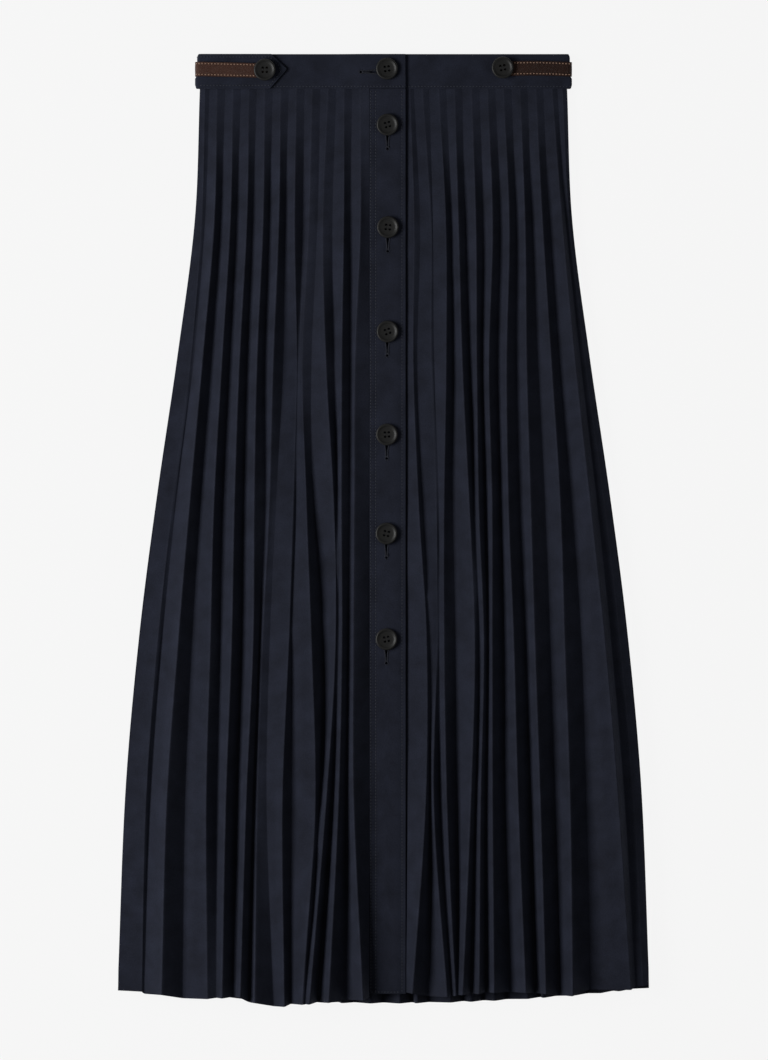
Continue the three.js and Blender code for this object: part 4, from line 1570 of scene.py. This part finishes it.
class SKIRT_OT_buttonholes(bpy.types.Operator):
    """Binds the edges of the buttonholes with thread"""

    bl_idname = "skirt.buttonholes"
    bl_label = "Buttonholes"

    def bind(self, length, place):
        """Stitches round one buttonhole. place(u, v) gives the point of the cloth at a place of the hole."""
        trim = bpy.context.scene.skirt_trim
        places = []
        for (u, v), way in buttonhole_outline(length):
            start = place(u, v)
            end = place(u + way[0] * trim.binding, v + way[1] * trim.binding)
            places.append(stitch_place(start, end, Vector((0, 0, 1)), trim.thread_width))
        return places

    def execute(self, context):
        trim = context.scene.skirt_trim
        places = []
        for _, down, _ in PLACKET_BUTTONS:
            places += self.bind(
                BUTTONHOLE_LENGTH, lambda u, v: placket_surface(placket_hole_x(down + u) + v, down + u)
            )
        hole = WAIST_HOLE["down"]
        places += self.bind(
            WAIST_HOLE["length"],
            lambda u, v: Vector((WAIST_BUTTON[0] - u, TOP - hole - v, lap_height(WAIST_BUTTON[0] - u))),
        )
        binding = thread("Binding thread", trim.binding_colour)
        finish_piece(sewn(places), "buttonhole_threads", binding, "navy_cloth")
        return {"FINISHED"}


class SKIRT_OT_topstitching(bpy.types.Operator):
    """Sews the rows of topstitching on the band, the tab and the placket"""

    bl_idname = "skirt.topstitching"
    bl_label = "Topstitching"

    def execute(self, context):
        trim = context.scene.skirt_trim
        navy = thread("Navy thread", trim.thread_colour)
        rows = {
            "band_stitches": self.band_lines(),
            "tab_stitches": [self.tab_line()],
            "placket_stitches": self.placket_lines(),
        }
        for name, lines in rows.items():
            places = []
            for line in lines:
                places += stitch_row(line, trim.stitch_length, trim.stitch_gap, trim.thread_width)
            finish_piece(sewn(places), name, navy, "navy_cloth")
        return {"FINISHED"}

    def band_lines(self):
        down = BAND_HEIGHT - BAND_STITCH_INSET
        lines = []
        for path in (left_band_path(), right_band_path(), back_band_path()):
            lines.append([(band_point(p, down), Vector((p.nx, 0, p.nz))) for p in path])
        return lines

    def tab_line(self):
        """One row along the lower edge of the tab, round its point and back along the upper edge."""
        lower = []
        upper = []
        slant = math.hypot(TAB_TIP - TAB_SHOULDER, BAND_HEIGHT / 2) / (BAND_HEIGHT / 2)
        for p in tab_path():
            if p.x > TAB_TIP - TAB_STITCH_INSET * slant:
                continue
            up = Vector((p.nx, 0, p.nz))
            for line in (lower, upper):
                point = band_point(p, BAND_HEIGHT / 2)
                inset = TAB_STITCH_INSET * (slant if p.nz > 0.9 and p.x > TAB_SHOULDER else 1)
                edge = tab_down(p.x, BAND_HEIGHT if line is lower else 0, p.nz > 0.9)
                point.y = TOP - (edge - inset if line is lower else edge + inset)
                line.append((point, up))
        return lower + upper[::-1]

    def placket_lines(self):
        columns = [PLACKET_LEFT + inset for inset in PLACKET_STITCH_LEFT]
        columns.append(PLACKET_RIGHT - PLACKET_STITCH_RIGHT)
        up = Vector((0, 0, 1))
        downs = steps_between(SEAM + 0.001, PLACKET_HEM - PLACKET_STITCH_HEM, 0.006)
        lines = [[(placket_surface(x, down), up) for down in downs] for x in columns]
        across = steps_between(PLACKET_LEFT + 0.001, PLACKET_RIGHT - PLACKET_STITCH_RIGHT, 0.003)
        lines.append([(placket_surface(x, PLACKET_HEM - PLACKET_STITCH_HEM), up) for x in across])
        return lines


class SKIRT_OT_stage(bpy.types.Operator):
    """Sets up the pale floor, the two lights and the camera straight above"""

    bl_idname = "skirt.stage"
    bl_label = "Stage"

    def execute(self, context):
        stage = context.scene.skirt_stage
        context.scene.view_settings.view_transform = "Standard"
        self.floor(stage)
        self.light(stage)
        self.camera(context.scene, stage)
        return {"FINISHED"}

    def floor(self, stage):
        bm = bmesh.new()
        bmesh.ops.create_grid(bm, x_segments=1, y_segments=1, size=FLOOR_HALF_SIZE)
        bmesh.ops.translate(bm, verts=bm.verts[:], vec=(0, 0, CAD_BOX[0].z - FLOOR_DROP))
        mesh = bpy.data.meshes.new("floor")
        bm.to_mesh(mesh)
        bm.free()
        material, tree = new_material("Pale floor")
        shader = add_node(tree, "ShaderNodeBsdfPrincipled", {"Roughness": 0.9, "Specular IOR Level": 0.0})
        shader.inputs["Base Color"].default_value = opaque(stage.floor_colour)
        shader.inputs["Emission Color"].default_value = (1, 1, 1, 1)
        shader.inputs["Emission Strength"].default_value = stage.floor_glow
        output = add_node(tree, "ShaderNodeOutputMaterial")
        tree.links.new(shader.outputs["BSDF"], output.inputs["Surface"])
        mesh.materials.append(material)
        floor = bpy.data.objects.new("floor", mesh)
        bpy.context.scene.collection.objects.link(floor)

    def light(self, stage):
        self.lamp("key light", stage.key_power, stage.key_place, stage)
        self.lamp("side light", stage.side_power, stage.side_place, stage)
        self.world(stage)

    def lamp(self, name, power, place, stage):
        """A long lamp that faces the skirt from one side."""
        lamp = bpy.data.lights.new(name, "AREA")
        lamp.shape = "RECTANGLE"
        lamp.size = stage.light_length
        lamp.size_y = stage.light_width
        lamp.energy = power
        stand = bpy.data.objects.new(name, lamp)
        stand.location = place
        aim = Vector((place[0], 0, place[2]))
        stand.rotation_euler = aim.to_track_quat("Z", "Y").to_euler()
        bpy.context.scene.collection.objects.link(stand)

    def world(self, stage):
        world = bpy.data.worlds.new("studio")
        world.use_nodes = True
        world.node_tree.nodes.clear()
        tree = world.node_tree
        seen = add_node(tree, "ShaderNodeLightPath").outputs["Is Camera Ray"]
        fill = add_node(tree, "ShaderNodeBackground", {"Strength": stage.fill})
        fill.inputs["Color"].default_value = (1, 1, 1, 1)
        backdrop = add_node(tree, "ShaderNodeBackground", {"Strength": 0.92})
        backdrop.inputs["Color"].default_value = (1, 1, 1, 1)
        both = add_node(tree, "ShaderNodeMixShader", {0: seen})
        tree.links.new(fill.outputs[0], both.inputs[1])
        tree.links.new(backdrop.outputs[0], both.inputs[2])
        output = add_node(tree, "ShaderNodeOutputWorld")
        tree.links.new(both.outputs[0], output.inputs["Surface"])
        bpy.context.scene.world = world

    def camera(self, scene, stage):
        lens = bpy.data.cameras.new("camera")
        lens.lens = stage.lens
        lens.sensor_width = CAMERA_SENSOR * 1000
        distance = PICTURE_HEIGHT * stage.lens / (CAMERA_SENSOR * 1000)
        camera = bpy.data.objects.new("camera", lens)
        camera.location = (*PICTURE_CENTRE, PICTURE_LEVEL + distance)
        scene.collection.objects.link(camera)
        scene.camera = camera


class SKIRT_PT_pieces(bpy.types.Panel):
    """Lists the pieces of the skirt and their sizes"""

    bl_idname = "SKIRT_PT_pieces"
    bl_label = "Pleated Midi Skirt"
    bl_space_type = "VIEW_3D"
    bl_region_type = "UI"
    bl_category = "Skirt"

    def draw(self, context):
        for group in (context.scene.skirt_cloth, context.scene.skirt_trim, context.scene.skirt_stage):
            box = self.layout.box()
            for name in group.__annotations__:
                box.prop(group, name)
        for operator in OPERATORS:
            self.layout.operator(operator.bl_idname)


OPERATORS = (
    SKIRT_OT_front_panels,
    SKIRT_OT_back_panel,
    SKIRT_OT_plackets,
    SKIRT_OT_waistband,
    SKIRT_OT_leather_strap,
    SKIRT_OT_buttons,
    SKIRT_OT_buttonholes,
    SKIRT_OT_topstitching,
    SKIRT_OT_stage,
)
PROPERTIES = {"skirt_cloth": SkirtCloth, "skirt_trim": SkirtTrim, "skirt_stage": SkirtStage}


def register():
    for kind in (*PROPERTIES.values(), *OPERATORS, SKIRT_PT_pieces):
        bpy.utils.register_class(kind)
    for name, kind in PROPERTIES.items():
        setattr(bpy.types.Scene, name, PointerProperty(type=kind))


def unregister():
    for name in PROPERTIES:
        delattr(bpy.types.Scene, name)
    for kind in reversed((*PROPERTIES.values(), *OPERATORS, SKIRT_PT_pieces)):
        bpy.utils.unregister_class(kind)


def main():
    register()
    bpy.ops.skirt.front_panels()
    bpy.ops.skirt.back_panel()
    bpy.ops.skirt.plackets()
    bpy.ops.skirt.waistband()
    bpy.ops.skirt.leather_strap()
    bpy.ops.skirt.buttons()
    bpy.ops.skirt.buttonholes()
    bpy.ops.skirt.topstitching()
    bpy.ops.skirt.stage()


if __name__ == "__main__":
    main()
